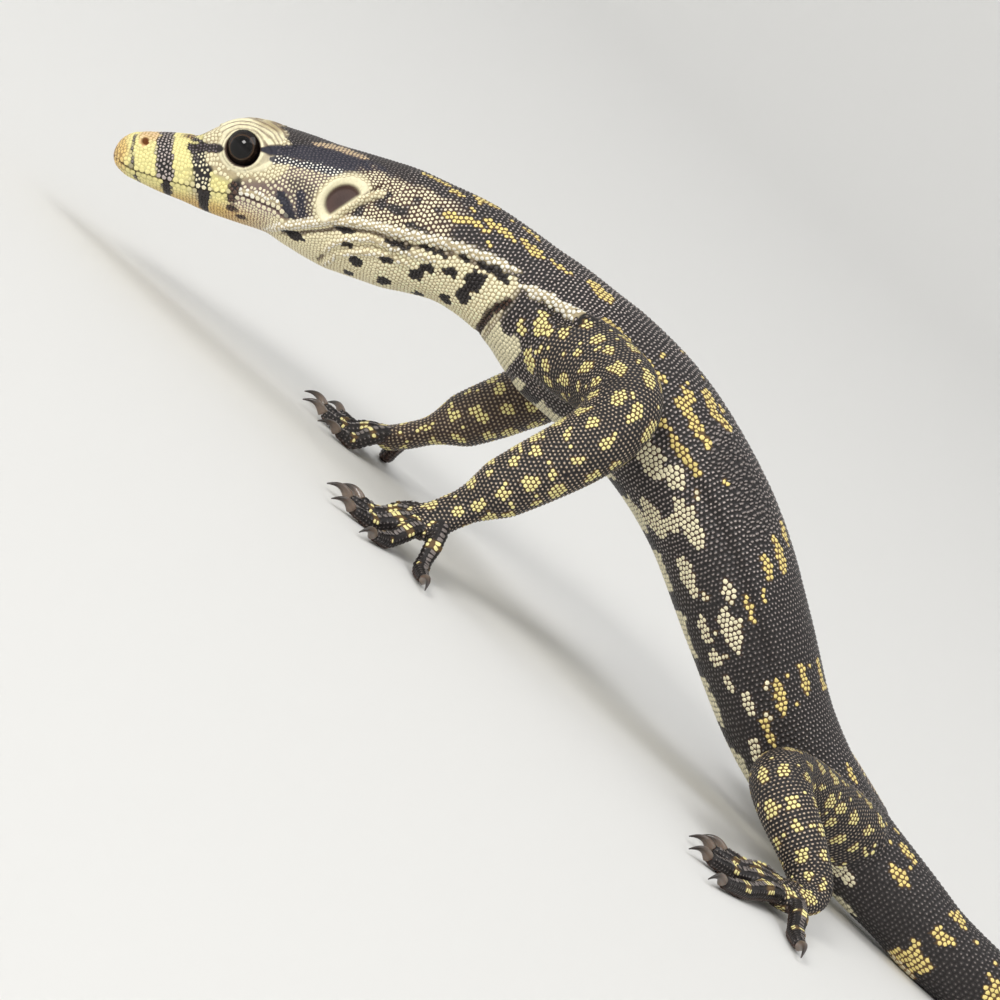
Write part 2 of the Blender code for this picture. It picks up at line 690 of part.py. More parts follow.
def finish(made, surface):
    """Gives a piece its material and shades it smooth with sharp cut edges."""
    made.data.materials.clear()
    made.data.materials.append(surface)
    made.data.shade_smooth()
    made.data.set_sharp_from_angle(angle=math.radians(50))


def main():
    clear_scene()
    skin = material("scaled skin", SLATE, 0.55)
    horn = material("claw horn", HORN, 0.35)
    glossy = material("eye", EYE_BLACK, 0.05)
    make_head(skin)
    make_eyes(glossy)
    make_trunk(skin)
    for limb in LIMBS:
        make_limb(limb, skin, horn)


main()
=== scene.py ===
"""The looks of the young water monitor: skins, raised scales, eyes, claws, floor and light.

Shapes are worked out in millimetres behind the snout's tip, outwards (left is negative) and over the
floor, and put into metres in the animal's own frame at the end. A place on the body is named by at, its
distance along the spine from the snout's tip, and around, the degrees round the body from the middle of
the back, left positive. above is a height over the spine, along the body's own up.
"""

import math
from collections import namedtuple

import bmesh
import bpy
import numpy as np
from mathutils import Matrix, Vector
from mathutils.bvhtree import BVHTree
from mathutils.kdtree import KDTree


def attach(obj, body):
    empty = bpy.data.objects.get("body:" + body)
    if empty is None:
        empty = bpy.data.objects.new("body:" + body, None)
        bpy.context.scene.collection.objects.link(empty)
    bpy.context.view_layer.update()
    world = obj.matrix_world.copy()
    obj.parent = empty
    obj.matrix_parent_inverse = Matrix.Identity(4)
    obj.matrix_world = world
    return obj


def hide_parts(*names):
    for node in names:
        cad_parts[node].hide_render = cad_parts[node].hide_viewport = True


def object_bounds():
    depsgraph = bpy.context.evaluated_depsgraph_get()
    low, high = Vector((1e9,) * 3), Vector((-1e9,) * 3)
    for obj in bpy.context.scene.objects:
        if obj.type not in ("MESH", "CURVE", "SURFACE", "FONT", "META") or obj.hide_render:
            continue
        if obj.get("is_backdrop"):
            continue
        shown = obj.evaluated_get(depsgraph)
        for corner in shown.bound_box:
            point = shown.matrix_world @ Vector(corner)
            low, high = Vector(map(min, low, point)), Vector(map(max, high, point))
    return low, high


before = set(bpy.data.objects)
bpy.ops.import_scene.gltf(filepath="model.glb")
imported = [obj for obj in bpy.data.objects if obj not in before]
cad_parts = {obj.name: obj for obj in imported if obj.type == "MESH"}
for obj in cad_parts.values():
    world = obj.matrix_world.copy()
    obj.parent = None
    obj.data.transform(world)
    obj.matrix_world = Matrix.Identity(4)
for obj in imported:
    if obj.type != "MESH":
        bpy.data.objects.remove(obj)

CAD_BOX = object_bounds()
MM = 0.001
MIDDLE_X = 147.76    # from the snout's tip back to the middle of the animal's box
MIDDLE_Y = 0.14
FLOOR_DIP = 0.18     # how far round undersides sink into the floor, where they are cut flat

# Spine, seen from the side: distance behind the snout's tip, and height over the floor.
SPINE = (
    (0.0, 9.1), (13.0, 16.7), (26.0, 23.0), (39.0, 27.5), (52.0, 28.8), (66.0, 27.7),
    (78.0, 24.1), (90.0, 17.6), (102.0, 10.9), (114.0, 7.1), (126.0, 5.4),
)
VENT = 137.0
TAIL_LENGTH = 185.0
TAIL_SWAY = 34.0     # degrees that the tail turns aside at the most
TAIL_WAVES = 0.80    # how many sideways waves it makes

# Sections across the body: half width, height over the spine, depth under it, and the power of the
# superellipse, which is 2 for an ellipse and more for a squarer shape.
Station = namedtuple("Station", "at half_width rise drop square")
BODY = (
    Station(0.0, 2.5, 2.5, 1.9, 2.1),      # snout tip
    Station(2.5, 3.2, 2.95, 2.5, 2.2),     # nostrils
    Station(6.0, 3.3, 3.6, 3.4, 2.3),
    Station(9.0, 3.8, 3.95, 3.95, 2.5),    # hollow before the brow
    Station(11.5, 4.5, 5.6, 4.45, 2.8),
    Station(13.5, 5.0, 6.7, 4.7, 3.0),
    Station(16.0, 5.5, 7.2, 4.9, 3.0),     # eyes and brow ridge
    Station(19.0, 6.3, 7.05, 5.1, 2.7),
    Station(22.0, 7.0, 6.9, 5.9, 2.4),     # jaw muscles
    Station(25.0, 7.3, 6.7, 6.7, 2.2),
    Station(28.0, 7.0, 6.8, 7.15, 2.1),    # ears
    Station(34.0, 6.4, 7.05, 7.1, 2.0),     # throat
    Station(38.0, 6.2, 6.85, 6.5, 2.0),
    Station(42.0, 6.2, 6.85, 6.0, 2.0),
    Station(46.0, 6.5, 6.7, 6.2, 2.0),
    Station(50.0, 7.2, 6.6, 6.8, 2.0),
    Station(54.0, 8.0, 6.9, 8.0, 2.0),     # breast
    Station(58.0, 8.4, 7.1, 8.8, 2.1),     # shoulders
    Station(62.0, 8.5, 7.5, 8.6, 2.1),
    Station(72.0, 8.8, 7.95, 7.8, 2.2),
    Station(80.0, 9.2, 7.85, 7.4, 2.2),    # ribs
    Station(90.0, 9.2, 7.8, 7.2, 2.2),
    Station(100.0, 8.6, 7.2, 6.8, 2.2),
    Station(110.0, 7.6, 6.4, 6.2, 2.1),
    Station(120.0, 6.7, 5.7, 5.7, 2.0),    # hips
    Station(130.0, 5.7, 5.2, 5.3, 2.0),
    Station(137.0, 5.0, 4.8, 4.9, 2.0),    # vent
    Station(150.0, 4.0, 4.5, 4.4, 2.1),
    Station(170.0, 3.2, 4.0, 3.9, 2.1),
    Station(200.0, 2.4, 3.2, 3.1, 2.1),
    Station(240.0, 1.7, 2.3, 2.2, 2.1),
    Station(280.0, 1.15, 1.5, 1.45, 2.0),
    Station(310.0, 0.75, 0.95, 0.9, 2.0),
    Station(322.0, 0.5, 0.6, 0.6, 2.0),    # tail tip
)
TAIL_END = BODY[-1].at
SNOUT_ROUND = 2.4        # over this length the snout's end opens to its full size
TAIL_ROUND = 1.2
HEAD_SKIN_END = 36.0     # the head's fine skin ends under the neck's
BODY_SKIN_START = 33.0
VOXEL = 0.415            # size of the cubes of the body skin's remesh

EYE = (15.2, 3.7, 3.1)   # along the spine, above it, out from the middle
EYEBALL_R = 2.5
NOSTRIL = (3.7, 2.15)    # along the spine and above it
NOSTRIL_R = 0.46
EAR = (27.7, 1.25)
EAR_LONG, EAR_SHORT = 2.3, 1.8
EAR_TILT = 56.0          # degrees of the ear's long axis over the spine's line
EAR_FOLD = (26.4, -1.7)  # where the fold that crosses the ear's lower rear starts
EAR_FOLD_RUN = (0.602, 0.798)
MOUTH = (
    (-3.0, 8.6), (0.5, 9.05), (3.0, 9.45), (6.5, 11.0), (11.0, 13.45), (15.2, 16.3),
    (18.7, 17.6), (20.9, 17.5), (22.6, 17.3),
)
MOUTH_CORNER = 20.6      # behind the snout's tip

Limb = namedtuple("Limb", "names side at lift out middle end heading radii joints foot")
Foot = namedtuple("Foot", "palm half_width height knuckle lengths splay thickness")
HAND = Foot(7.0, 2.9, 1.5, 2.5, (4.8, 6.8, 8.0, 8.2, 6.0), (-46, -20, 4, 30, 72), 0.98)
SOLE = Foot(8.4, 2.7, 1.5, 1.35, (5.4, 8.0, 10.8, 13.2, 8.2), (-34, -14, 5, 24, 66), 1.02)
ARM_RADII = (5.2, 4.6, 4.2, 3.8, 3.0)
LEG_RADII = (5.0, 4.4, 3.6, 3.0, 2.1)
LIMBS = (
    Limb("upper_arm forearm hand left", -1, 57.5, -1.0, 4.4,
         (63.3, 16.0, 27.4), (57.4, 16.6, 8.4), 36.0, ARM_RADII, (0.43, 0.88), HAND),
    Limb("upper_arm forearm hand right", 1, 57.5, -1.4, 4.4,
         (56.6, 15.0, 25.0), (48.6, 15.0, 7.8), 12.0, ARM_RADII, (0.38, 0.88), HAND),
    Limb("thigh shank foot left", -1, 124.0, 0.4, 2.4,
         (103.5, 18.6, 9.6), (116.0, 26.0, 3.4), 36.0, LEG_RADII, (0.50, 0.87), SOLE),
    Limb("thigh shank foot right", 1, 124.0, 0.4, 2.4,
         (107.0, 19.6, 9.4), (121.5, 24.6, 3.4), 44.0, LEG_RADII, (0.50, 0.87), SOLE),
)
CLAW_LENGTH = 2.9
CLAW_SIZES = (0.90, 0.90, 0.95, 0.95, 0.90)
CLAW_ARCH = 0.55
CLAW_TIP_HEIGHT = 0.28
CLAW_R = 0.62
CLAW_POINT_R = 0.07
GAP = 0.3                # between a digit's end and its claw in the solids
TURN_SHARE = 0.07        # share of a line over which its direction is averaged

# The view: the picture is rolled, the camera a little above the animal's side.
VIEW_ROLL = 42.0
VIEW_LIFT = 8.0
VIEW_CENTRE = (59.67, 0.0, 9.14)
VIEW_DISTANCE = 500.0
VIEW_WIDTH = 115.0
SENSOR = 36.0

# Colours


def seen(red, green, blue):
    """A colour as seen, 0 to 255 each, in linear light."""
    share = np.array((red, green, blue)) / 255.0
    return np.where(share <= 0.04045, share / 12.92, ((share + 0.055) / 1.055) ** 2.4)


BLACK = seen(29, 23, 23)
SLATE = seen(72, 64, 68)
LILAC = seen(186, 173, 168)
DUST = seen(188, 169, 148)
CHEEK = seen(132, 112, 106)
YELLOW = seen(246, 224, 140)
LEMON = seen(251, 240, 166)
GOLD = seen(238, 202, 124)
CREAM = seen(246, 237, 202)
PALE = seen(247, 239, 203)
SHADE = seen(198, 182, 146)
TAN = seen(168, 128, 76)
STRAW = seen(212, 184, 118)
MEMBRANE = seen(92, 70, 66)
BLUE_BLACK = seen(34, 33, 48)
BROWN = seen(84, 60, 48)
RUST = seen(122, 76, 42)
WHITE = seen(250, 247, 236)
SNOUT_PINK = seen(236, 196, 160)
NOSTRIL_RIM = seen(238, 206, 152)
TEMPLE_TAN = seen(222, 196, 154)
PUPIL = seen(5, 4, 5)
IRIS = seen(26, 18, 14)
IRIS_GOLD = seen(84, 62, 42)
EYE_EDGE = seen(16, 13, 14)
HORN_ROOT = seen(120, 104, 92)
HORN_TIP = seen(44, 34, 30)


# Curves and sections


def graded(table, at):
    """A value that runs straight between the (place, value) pairs of a table."""
    places, values = np.array(table, float).T
    return np.interp(at, places, values)


def through(keys, values, at):
    """A smooth curve through values at keys: cubic Hermite pieces whose slopes never overshoot."""
    keys = np.asarray(keys, float)
    values = np.asarray(values, float)
    step = np.diff(keys)
    slope = np.diff(values) / step
    tangent = np.zeros_like(values)
    same_way = slope[:-1] * slope[1:] > 0
    wide = step[1:] + step[:-1]
    ahead = (step[1:] + wide) / 3.0
    behind = (step[:-1] + wide) / 3.0
    safe_before = np.where(same_way, slope[:-1], 1.0)
    safe_after = np.where(same_way, slope[1:], 1.0)
    tangent[1:-1] = np.where(same_way, wide / (ahead / safe_before + behind / safe_after), 0.0)
    tangent[0] = slope[0]
    tangent[-1] = slope[-1]
    return hermite(keys, values, tangent, np.clip(at, keys[0], keys[-1]))


def hermite(keys, values, tangent, at):
    """Cubic pieces that pass through the values at their keys with the given slopes."""
    piece = np.clip(np.searchsorted(keys, at, side="right") - 1, 0, len(keys) - 2)
    width = keys[piece + 1] - keys[piece]
    t = (at - keys[piece]) / width
    return (
        values[piece] * (1 + 2 * t) * (1 - t) ** 2
        + tangent[piece] * width * t * (1 - t) ** 2
        + values[piece + 1] * t * t * (3 - 2 * t)
        + tangent[piece + 1] * width * t * t * (t - 1)
    )


def rounded_path(points, rounds=4):
    """Corner cutting: each side of the path keeps its middle half, so that corners become arcs."""
    points = np.asarray(points, float)
    for _ in range(rounds):
        a = points[:-1] * 0.75 + points[1:] * 0.25
        b = points[:-1] * 0.25 + points[1:] * 0.75
        inner = np.empty((2 * len(a), 3))
        inner[0::2] = a
        inner[1::2] = b
        points = np.vstack([points[:1], inner[1:-1], points[-1:]])
    return points


def lengths_along(points):
    """How far along a path each of its points lies."""
    return np.r_[0.0, np.cumsum(np.linalg.norm(np.diff(points, axis=0), axis=1))]


def points_at(path, at):
    """Points on a path, at distances along it."""
    along = lengths_along(path)
    return np.stack([np.interp(at, along, path[:, k]) for k in range(3)], axis=1)


def body_path():
    """The spine from the snout to the tail's tip: a smooth arch in the middle plane, then a tail whose
    direction sways as a sine wave and whose height settles down onto the floor."""
    spine = np.array([(x, 0.0, z) for x, z in SPINE])
    chord = lengths_along(spine)
    fine = np.linspace(0.0, chord[-1], 160)
    arch = np.stack(
        [hermite(chord, spine[:, k], np.gradient(spine[:, k], chord), fine) for k in range(3)], axis=1
    )
    start = lengths_along(arch)[-1]
    steps = np.linspace(0.0, VENT + TAIL_LENGTH - start, 240)
    share = np.clip((start + steps - VENT) / TAIL_LENGTH, 0.0, 1.0)
    turn = math.radians(TAIL_SWAY) * np.sin(2 * math.pi * TAIL_WAVES * share)
    step = np.diff(steps, prepend=0.0)
    stations = np.array(BODY)
    drop = through(stations[:, 0], stations[:, 3], start + steps)
    settle = np.clip(steps / 8.0, 0.0, 1.0)
    settle = settle * settle * (3 - 2 * settle)
    first_slope = (arch[-1, 2] - arch[-2, 2]) / np.linalg.norm(arch[-1] - arch[-2])
    falling = arch[-1, 2] + first_slope * steps
    height = falling * (1 - settle) + (drop - FLOOR_DIP) * settle
    tail = np.stack(
        [arch[-1, 0] + np.cumsum(step * np.cos(turn)), np.cumsum(step * np.sin(turn)), height], axis=1
    )
    return np.vstack([arch, tail[1:]])


PATH = body_path()
PATH_LENGTH = lengths_along(PATH)[-1]


def body_frames(at):
    """Centre, tangent, side and up of the body at distances along the spine. Side points to the left."""
    centre = points_at(PATH, at)
    ahead = points_at(PATH, np.minimum(at + 0.4, PATH_LENGTH))
    behind = points_at(PATH, np.maximum(at - 0.4, 0.0))
    tangent = ahead - behind
    tangent /= np.linalg.norm(tangent, axis=1)[:, None]
    side = np.cross(tangent, (0.0, 0.0, 1.0))
    side /= np.linalg.norm(side, axis=1)[:, None]
    return centre, tangent, side, np.cross(side, tangent)


def round_off(distance, length):
    """How far a blunt end has opened at a distance from it: a quarter of an ellipse."""
    share = np.clip(distance / length, 0.0, 1.0)
    return np.sqrt(1 - (1 - share) ** 2)


def body_sizes(at):
    """Half width, rise, drop and squareness of the body along the spine."""
    stations = np.array(BODY)
    wide, rise, drop, square = (through(stations[:, 0], stations[:, k], at) for k in (1, 2, 3, 4))
    open_ = round_off(at, SNOUT_ROUND) * round_off(TAIL_END - at, TAIL_ROUND)
    return wide * open_, rise * open_, drop * open_, square


def body_surface(at, around, grow=0.0):
    """Points of the body's superellipse sections. around is in degrees from the back, left positive."""
    at, around = np.broadcast_arrays(np.asarray(at, float), np.asarray(around, float))
    wide, rise, drop, square = body_sizes(at)
    centre, _, side, up = body_frames(at.ravel())
    angle = np.radians(90.0 - around)
    cos, sin = np.cos(angle), np.sin(angle)
    power = 2.0 / square
    across = np.sign(cos) * np.abs(cos) ** power * (wide + grow)
    upward = np.sign(sin) * np.abs(sin) ** power * np.where(sin > 0, rise + grow, drop + grow)
    shape = at.shape + (3,)
    across = across[..., None] * side.reshape(shape)
    return centre.reshape(shape) + across + upward[..., None] * up.reshape(shape)


def body_place(points):
    """Where points lie on the body: distance along the spine, degrees round it, above it, outwards."""
    at = np.arange(0.0, TAIL_END, 0.25)
    centre, tangent, side, up = body_frames(at)
    nearest = np.empty(len(points), int)
    for first in range(0, len(points), 4000):
        block = points[first:first + 4000]
        gap = ((block[:, None, :] - centre[None, :, :]) ** 2).sum(axis=2)
        nearest[first:first + 4000] = gap.argmin(axis=1)
    away = points - centre[nearest]
    along = at[nearest] + (away * tangent[nearest]).sum(axis=1)
    above = (away * up[nearest]).sum(axis=1)
    out = (away * side[nearest]).sum(axis=1)
    wide, rise, drop, square = body_sizes(along)
    tall = np.where(above > 0, rise, drop)
    x = np.sign(out) * (np.abs(out) / np.maximum(wide, 0.1)) ** (square / 2)
    y = np.sign(above) * (np.abs(above) / np.maximum(tall, 0.1)) ** (square / 2)
    return along, 90.0 - np.degrees(np.arctan2(y, x)), above, out


def smooth_step(low, high, x):
    """0 up to low, 1 from high on, and a smooth cubic between them."""
    share = np.clip((x - low) / (high - low), 0.0, 1.0)
    return share * share * (3 - 2 * share)


def lattice_noise(points, size, seed):
    """Smooth noise from -1 to 1: chance values at the corners of cubes of that size, blended inside."""
    spot = np.asarray(points, float) / size + seed * 17.31
    cell = np.floor(spot).astype(np.int64)
    part = spot - cell
    part = part * part * (3 - 2 * part)
    total = np.zeros(len(spot))
    for corner in np.ndindex(2, 2, 2):
        at = cell + corner
        mixed = (at[:, 0] * 73856093) ^ (at[:, 1] * 19349663) ^ (at[:, 2] * 83492791) ^ (seed * 2654435)
        mixed = (mixed & 0xFFFFFFFF) * 1274126177 & 0xFFFFFFFF
        mixed = ((mixed ^ (mixed >> 15)) * 668265263) & 0xFFFFFFFF
        value = (mixed ^ (mixed >> 13)) % 65536 / 32767.5 - 1.0
        weight = np.prod(np.where(np.array(corner) == 1, part, 1 - part), axis=1)
        total += weight * value
    return total


def polyline_distance(x, y, line):
    """Distance in the plane from points to a line of corners, and how far along it they are, 0 to 1."""
    line = np.asarray(line, float)
    best = np.full(np.shape(x), 1e9)
    share = np.zeros(np.shape(x))
    spans = np.hypot(*np.diff(line, axis=0).T)
    before = np.r_[0.0, np.cumsum(spans)] / spans.sum()
    for k in range(len(line) - 1):
        step = line[k + 1] - line[k]
        t = np.clip(((x - line[k, 0]) * step[0] + (y - line[k, 1]) * step[1]) / step.dot(step), 0, 1)
        gap = np.hypot(x - line[k, 0] - t * step[0], y - line[k, 1] - t * step[1])
        closer = gap < best
        best = np.where(closer, gap, best)
        share = np.where(closer, before[k] + t * (before[k + 1] - before[k]), share)
    return best, share


# Limbs, the same forms as the solids, with finer rings


def line_rings(line, at, wide, thick, side_hint, facets):
    """Rings square to a line at distances along it, the wide axis nearest side_hint at the line's end."""
    along = lengths_along(line)
    near = along[-1] * TURN_SHARE
    tangent = points_at(line, along + near) - points_at(line, along - near)
    tangent /= np.linalg.norm(tangent, axis=1)[:, None]
    sides = np.zeros_like(line)
    side = np.asarray(side_hint, float)
    for k in range(len(line) - 1, -1, -1):
        side = side - tangent[k] * side.dot(tangent[k])
        side = side / np.linalg.norm(side)
        sides[k] = side
    centre = points_at(line, at)
    ahead = np.stack([np.interp(at, along, tangent[:, k]) for k in range(3)], axis=1)
    across = np.stack([np.interp(at, along, sides[:, k]) for k in range(3)], axis=1)
    ahead /= np.linalg.norm(ahead, axis=1)[:, None]
    across -= ahead * (across * ahead).sum(axis=1)[:, None]
    across /= np.linalg.norm(across, axis=1)[:, None]
    ups = np.cross(across, ahead)
    angle = np.arange(facets) * 2 * math.pi / facets
    cos, sin = np.cos(angle), np.sin(angle)
    return (
        centre[:, None, :]
        + (wide[:, None] * cos[None, :])[..., None] * across[:, None, :]
        + (thick[:, None] * sin[None, :])[..., None] * ups[:, None, :]
    )


def outwards(place_on_side, side):
    """A place given as back, out and height, put on the left side (-1) or the right (1)."""
    back, out, height = place_on_side
    return np.array((back, out * side, height), float)


def heading_vector(degrees, side):
    """A level direction turned outwards from straight ahead."""
    turn = math.radians(degrees)
    return np.array((-math.cos(turn), math.sin(turn) * side, 0.0))


def limb_joints(limb):
    """Root, middle joint, wrist or ankle, and front of the palm. The palm slopes down to the knuckle's
    height, so its level reach is what is left of its length by the rule for a right triangle."""
    centre, _, left, up = (v[0] for v in body_frames(np.array([limb.at])))
    outward = left if limb.side < 0 else -left
    root = centre + up * limb.lift + outward * limb.out
    middle = outwards(limb.middle, limb.side)
    end = outwards(limb.end, limb.side)
    sink = limb.end[2] - limb.foot.knuckle
    palm = end + heading_vector(limb.heading, limb.side) * math.sqrt(limb.foot.palm ** 2 - sink ** 2)
    palm[2] = limb.foot.knuckle
    return root, middle, end, palm


def limb_line(limb):
    """The limb's smooth middle line from its root to the palm's front, and its length to the wrist."""
    root, middle, wrist, palm = limb_joints(limb)
    corner = middle + (2 * middle - root - wrist) / 6
    line = rounded_path([root, corner, wrist, palm])
    nearest = np.argmin(np.linalg.norm(line - wrist, axis=1))
    return line, lengths_along(line)[nearest]


def limb_radius(limb, at, reach):
    """The limb's radius at distances along it: a smooth curve through its evenly spaced radii."""
    return through(np.linspace(0.0, 1.0, len(limb.radii)), limb.radii, at / reach)


def limb_rings(limb, at, facets):
    """Rings from the root down to the palm, as the solids' upper and lower pieces and palm have them."""
    line, reach = limb_line(limb)
    full = lengths_along(line)[-1]
    palm_start = limb.joints[1] * reach
    radius = limb_radius(limb, np.minimum(at, reach), reach)
    start = limb_radius(limb, palm_start, reach)
    share = np.clip((at - palm_start) / (full - palm_start), 0.0, 1.0)
    foot = limb.foot
    keys = (0.0, 0.45, 0.85, 1.0)
    palm_wide = through(keys, (start * 1.04, foot.half_width * 0.9, foot.half_width, 1.9), share)
    palm_thick = through(keys, (start * 0.94, foot.height * 1.05, foot.height, 1.0), share)
    wide = np.where(at < palm_start, radius * 1.04, palm_wide)
    thick = np.where(at < palm_start, radius * 0.94, palm_thick)
    hint = heading_vector(limb.heading + 90.0, limb.side)
    return line_rings(line, at, wide, thick, hint, facets)


def digit_lines(limb):
    """For each digit its level direction, its knuckle and its length."""
    foot, side = limb.foot, limb.side
    _, _, wrist, palm = limb_joints(limb)
    ahead = (palm - wrist) / foot.palm
    across = heading_vector(limb.heading + 90.0, side)
    for k, (length, splay) in enumerate(zip(foot.lengths, foot.splay)):
        place_across = (k / (len(foot.lengths) - 1) - 0.5) * 1.5 * foot.half_width
        back = 1.3 + 1.6 * max(0, k - 3) + 0.7 * max(0, 1 - k)
        knuckle = palm + across * place_across - ahead * back
        yield k, heading_vector(limb.heading + splay, side), knuckle, length + back * 0.6


def digit_path(direction, knuckle, length, thickness, steps):
    """A digit's middle line: straight in plan, with a low arch from the knuckle down to the floor."""
    share = np.linspace(0.0, 1.0, steps)
    path = knuckle + direction * (share * length)[:, None]
    lowest = thickness - FLOOR_DIP
    falling = np.clip(share / 0.6, 0.0, 1.0)
    hump = 0.5 * np.sin(math.pi * falling)
    path[:, 2] = lowest + (knuckle[2] - lowest) * (1 - falling * falling * (3 - 2 * falling)) + hump
    return path


def digit_rings(digit, thickness, share, facets):
    """Rings of one digit at shares of its length, with a slight swelling at each joint."""
    direction, knuckle, length = digit
    path = digit_path(direction, knuckle, length, thickness, 24)
    slim = thickness * through((0.0, 0.3, 0.75, 1.0), (1.02, 1.08, 0.92, 0.74), share)
    slim = slim * (1 + 0.05 * np.cos(share * 3 * 2 * math.pi))
    across = np.cross(direction, (0.0, 0.0, 1.0))
    return line_rings(path, share * lengths_along(path)[-1], slim, slim, across, facets)


# Meshes


def to_metres(points):
    """Places in millimetres behind the snout's tip, put into metres in the animal's own frame."""
    return (np.asarray(points, float) - (MIDDLE_X, MIDDLE_Y, 0.0)) * MM


def grid_faces(rows, columns):
    """Quads of a grid of rows whose columns close into rings."""
    index = np.arange(rows * columns).reshape(rows, columns)
    after = np.roll(index, -1, axis=1)
    return np.stack([index[:-1], index[1:], after[1:], after[:-1]], axis=-1).reshape(-1, 4)


def capped(rings):
    """Vertices and faces of a closed tube over rings, with a flat cap on each end."""
    rows, columns = rings.shape[:2]
    faces = grid_faces(rows, columns).tolist()
    faces.append(list(range(columns)))
    faces.append(list(range(rows * columns - 1, (rows - 1) * columns - 1, -1)))
    return rings.reshape(-1, 3), faces


def add_mesh(name, points, faces, surface):
    """A shaded mesh object from points in metres. faces are a whole array, or a list of lists."""
    mesh = bpy.data.meshes.new(name)
    if isinstance(faces, np.ndarray):
        mesh.vertices.add(len(points))
        mesh.vertices.foreach_set("co", np.asarray(points, np.float32).ravel())
        mesh.loops.add(faces.size)
        mesh.loops.foreach_set("vertex_index", faces.astype(np.int32).ravel())
        mesh.polygons.add(len(faces))
        mesh.polygons.foreach_set("loop_start", np.arange(0, faces.size, faces.shape[1], dtype=np.int32))
        mesh.update(calc_edges=True)
    else:
        mesh.from_pydata([tuple(p) for p in points], [], faces)
    mesh.materials.append(surface)
    mesh.shade_smooth()
    made = bpy.data.objects.new(name, mesh)
    bpy.context.scene.collection.objects.link(made)
    return made


def paint(made, colours):
    """Stores one colour for each vertex, in linear light."""
    layer = made.data.attributes.new("tint", "FLOAT_COLOR", "POINT")
    full = np.ones((len(colours), 4), np.float32)
    full[:, :3] = colours
    layer.data.foreach_set("color", full.ravel())


def set_uv(made, uv):
    """Stores a map with one place for each vertex."""
    layer = made.data.uv_layers.new(name="OFBake")
    corner = np.empty(len(made.data.loops), np.int32)
    made.data.loops.foreach_get("vertex_index", corner)
    layer.data.foreach_set("uv", uv[corner].astype(np.float32).ravel())


def mesh_arrays(mesh):
    """A mesh's points, and the pairs of points that its edges join."""
    points = np.empty(len(mesh.vertices) * 3, np.float32)
    mesh.vertices.foreach_get("co", points)
    edges = np.empty(len(mesh.edges) * 2, np.int32)
    mesh.edges.foreach_get("vertices", edges)
    return points.reshape(-1, 3).astype(float), edges.reshape(-1, 2)


def vertex_normals(points, quads):
    """Area-weighted normals of a mesh of quads."""
    across = np.cross(points[quads[:, 2]] - points[quads[:, 0]], points[quads[:, 3]] - points[quads[:, 1]])
    normal = np.zeros_like(points)
    for k in range(4):
        for axis in range(3):
            normal[:, axis] += np.bincount(quads[:, k], across[:, axis], len(points))
    return normal / np.maximum(np.linalg.norm(normal, axis=1), 1e-12)[:, None]


def relax(points, edges, strength, rounds):
    """Moves each point towards the middle of its neighbours by its own strength, several times."""
    count = np.maximum(np.bincount(edges.ravel(), minlength=len(points)), 1)
    for _ in range(rounds):
        middle = np.zeros_like(points)
        for axis in range(3):
            middle[:, axis] = np.bincount(edges[:, 0], points[edges[:, 1], axis], len(points))
            middle[:, axis] += np.bincount(edges[:, 1], points[edges[:, 0], axis], len(points))
        points = points + (middle / count[:, None] - points) * strength[:, None]
    return points


# Folds and features in the skin

SOCKET_DEPTH = 1.5
LID_RIM = 2.16           # the lids' raised inner rim, from the eye's middle
LID_FIRST = 2.18         # the innermost fold of the lids
LID_STEP = 0.37
LID_ENDS = (2.62, 3.90)  # where the bare folds end, below and above the eye
LID_STRETCH = (0.16, 0.30)    # how far the outer folds are drawn out, before and behind the eye
EAR_DEPTH = 0.95
NOSTRIL_DEPTH = 0.85
MOUTH_DEPTH = 0.32

# Lines on the head: distance along the spine, and height above it.
BROW_RIDGE = ((9.5, 3.3), (11.5, 4.6), (14.5, 6.5), (17.0, 6.6), (20.0, 5.6))
UPPER_CHEEK_FOLD = ((16.0, -0.7), (18.5, -0.6), (21.0, -0.9), (23.0, -1.9))
LOWER_CHEEK_FOLD = ((16.5, -1.6), (19.5, -2.1), (22.5, -3.0))
EAR_FOLD_LINE = ((26.2, -2.0), (27.4, -0.5), (29.4, 2.0), (31.6, 3.7))

PER_DEGREE = 0.12        # millimetres round the trunk for one degree

Fold = namedtuple("Fold", "line height width")
# Lines are distance along the spine and degrees from the back. Height is up for a ridge, down for a crease.
FOLDS = (
    Fold(((19.5, 150), (21.5, 124), (24.0, 111), (27.0, 99), (30.0, 94), (35.0, 90), (41.0, 81), (48.5, 69)),
         0.48, 0.42),
    Fold(((20.5, 150), (22.5, 132), (25.0, 118), (28.4, 104), (32.0, 98), (36.0, 99), (41.0, 88), (47.5, 82)),
         -0.40, 0.36),
    Fold(((27.2, 140), (27.8, 123), (29.6, 111), (32.0, 104), (36.0, 106), (41.0, 101)), 0.40, 0.36),
    Fold(((27.0, 163), (28.8, 131), (31.2, 121), (34.0, 115), (38.0, 117)), 0.34, 0.38),
    Fold(((26.4, 160), (27.4, 136)), -0.35, 0.35),
    Fold(((48.6, 180), (48.6, 140), (48.8, 113), (50.0, 93)), -0.55, 0.5),
    Fold(((50.0, 77), (53.0, 71), (57.0, 66), (63.0, 65)), 0.42, 0.5),
    Fold(((52.0, 82), (57.0, 75), (61.0, 72), (66.0, 72), (70.0, 82)), -0.75, 0.55),
    Fold(((69.0, 88), (75.0, 84), (80.0, 82), (88.0, 78), (96.0, 76), (105.0, 80)), -0.32, 0.6),
    Fold(((72.0, 76), (80.0, 74), (90.0, 70), (100.0, 68)), 0.22, 0.9),
    Fold(((28.6, 134), (30.0, 119), (32.5, 111), (36.0, 112)), -0.24, 0.30),
    Fold(((27.8, 18), (28.6, 34), (29.4, 46), (30.4, 60)), 0.22, 0.35),
)
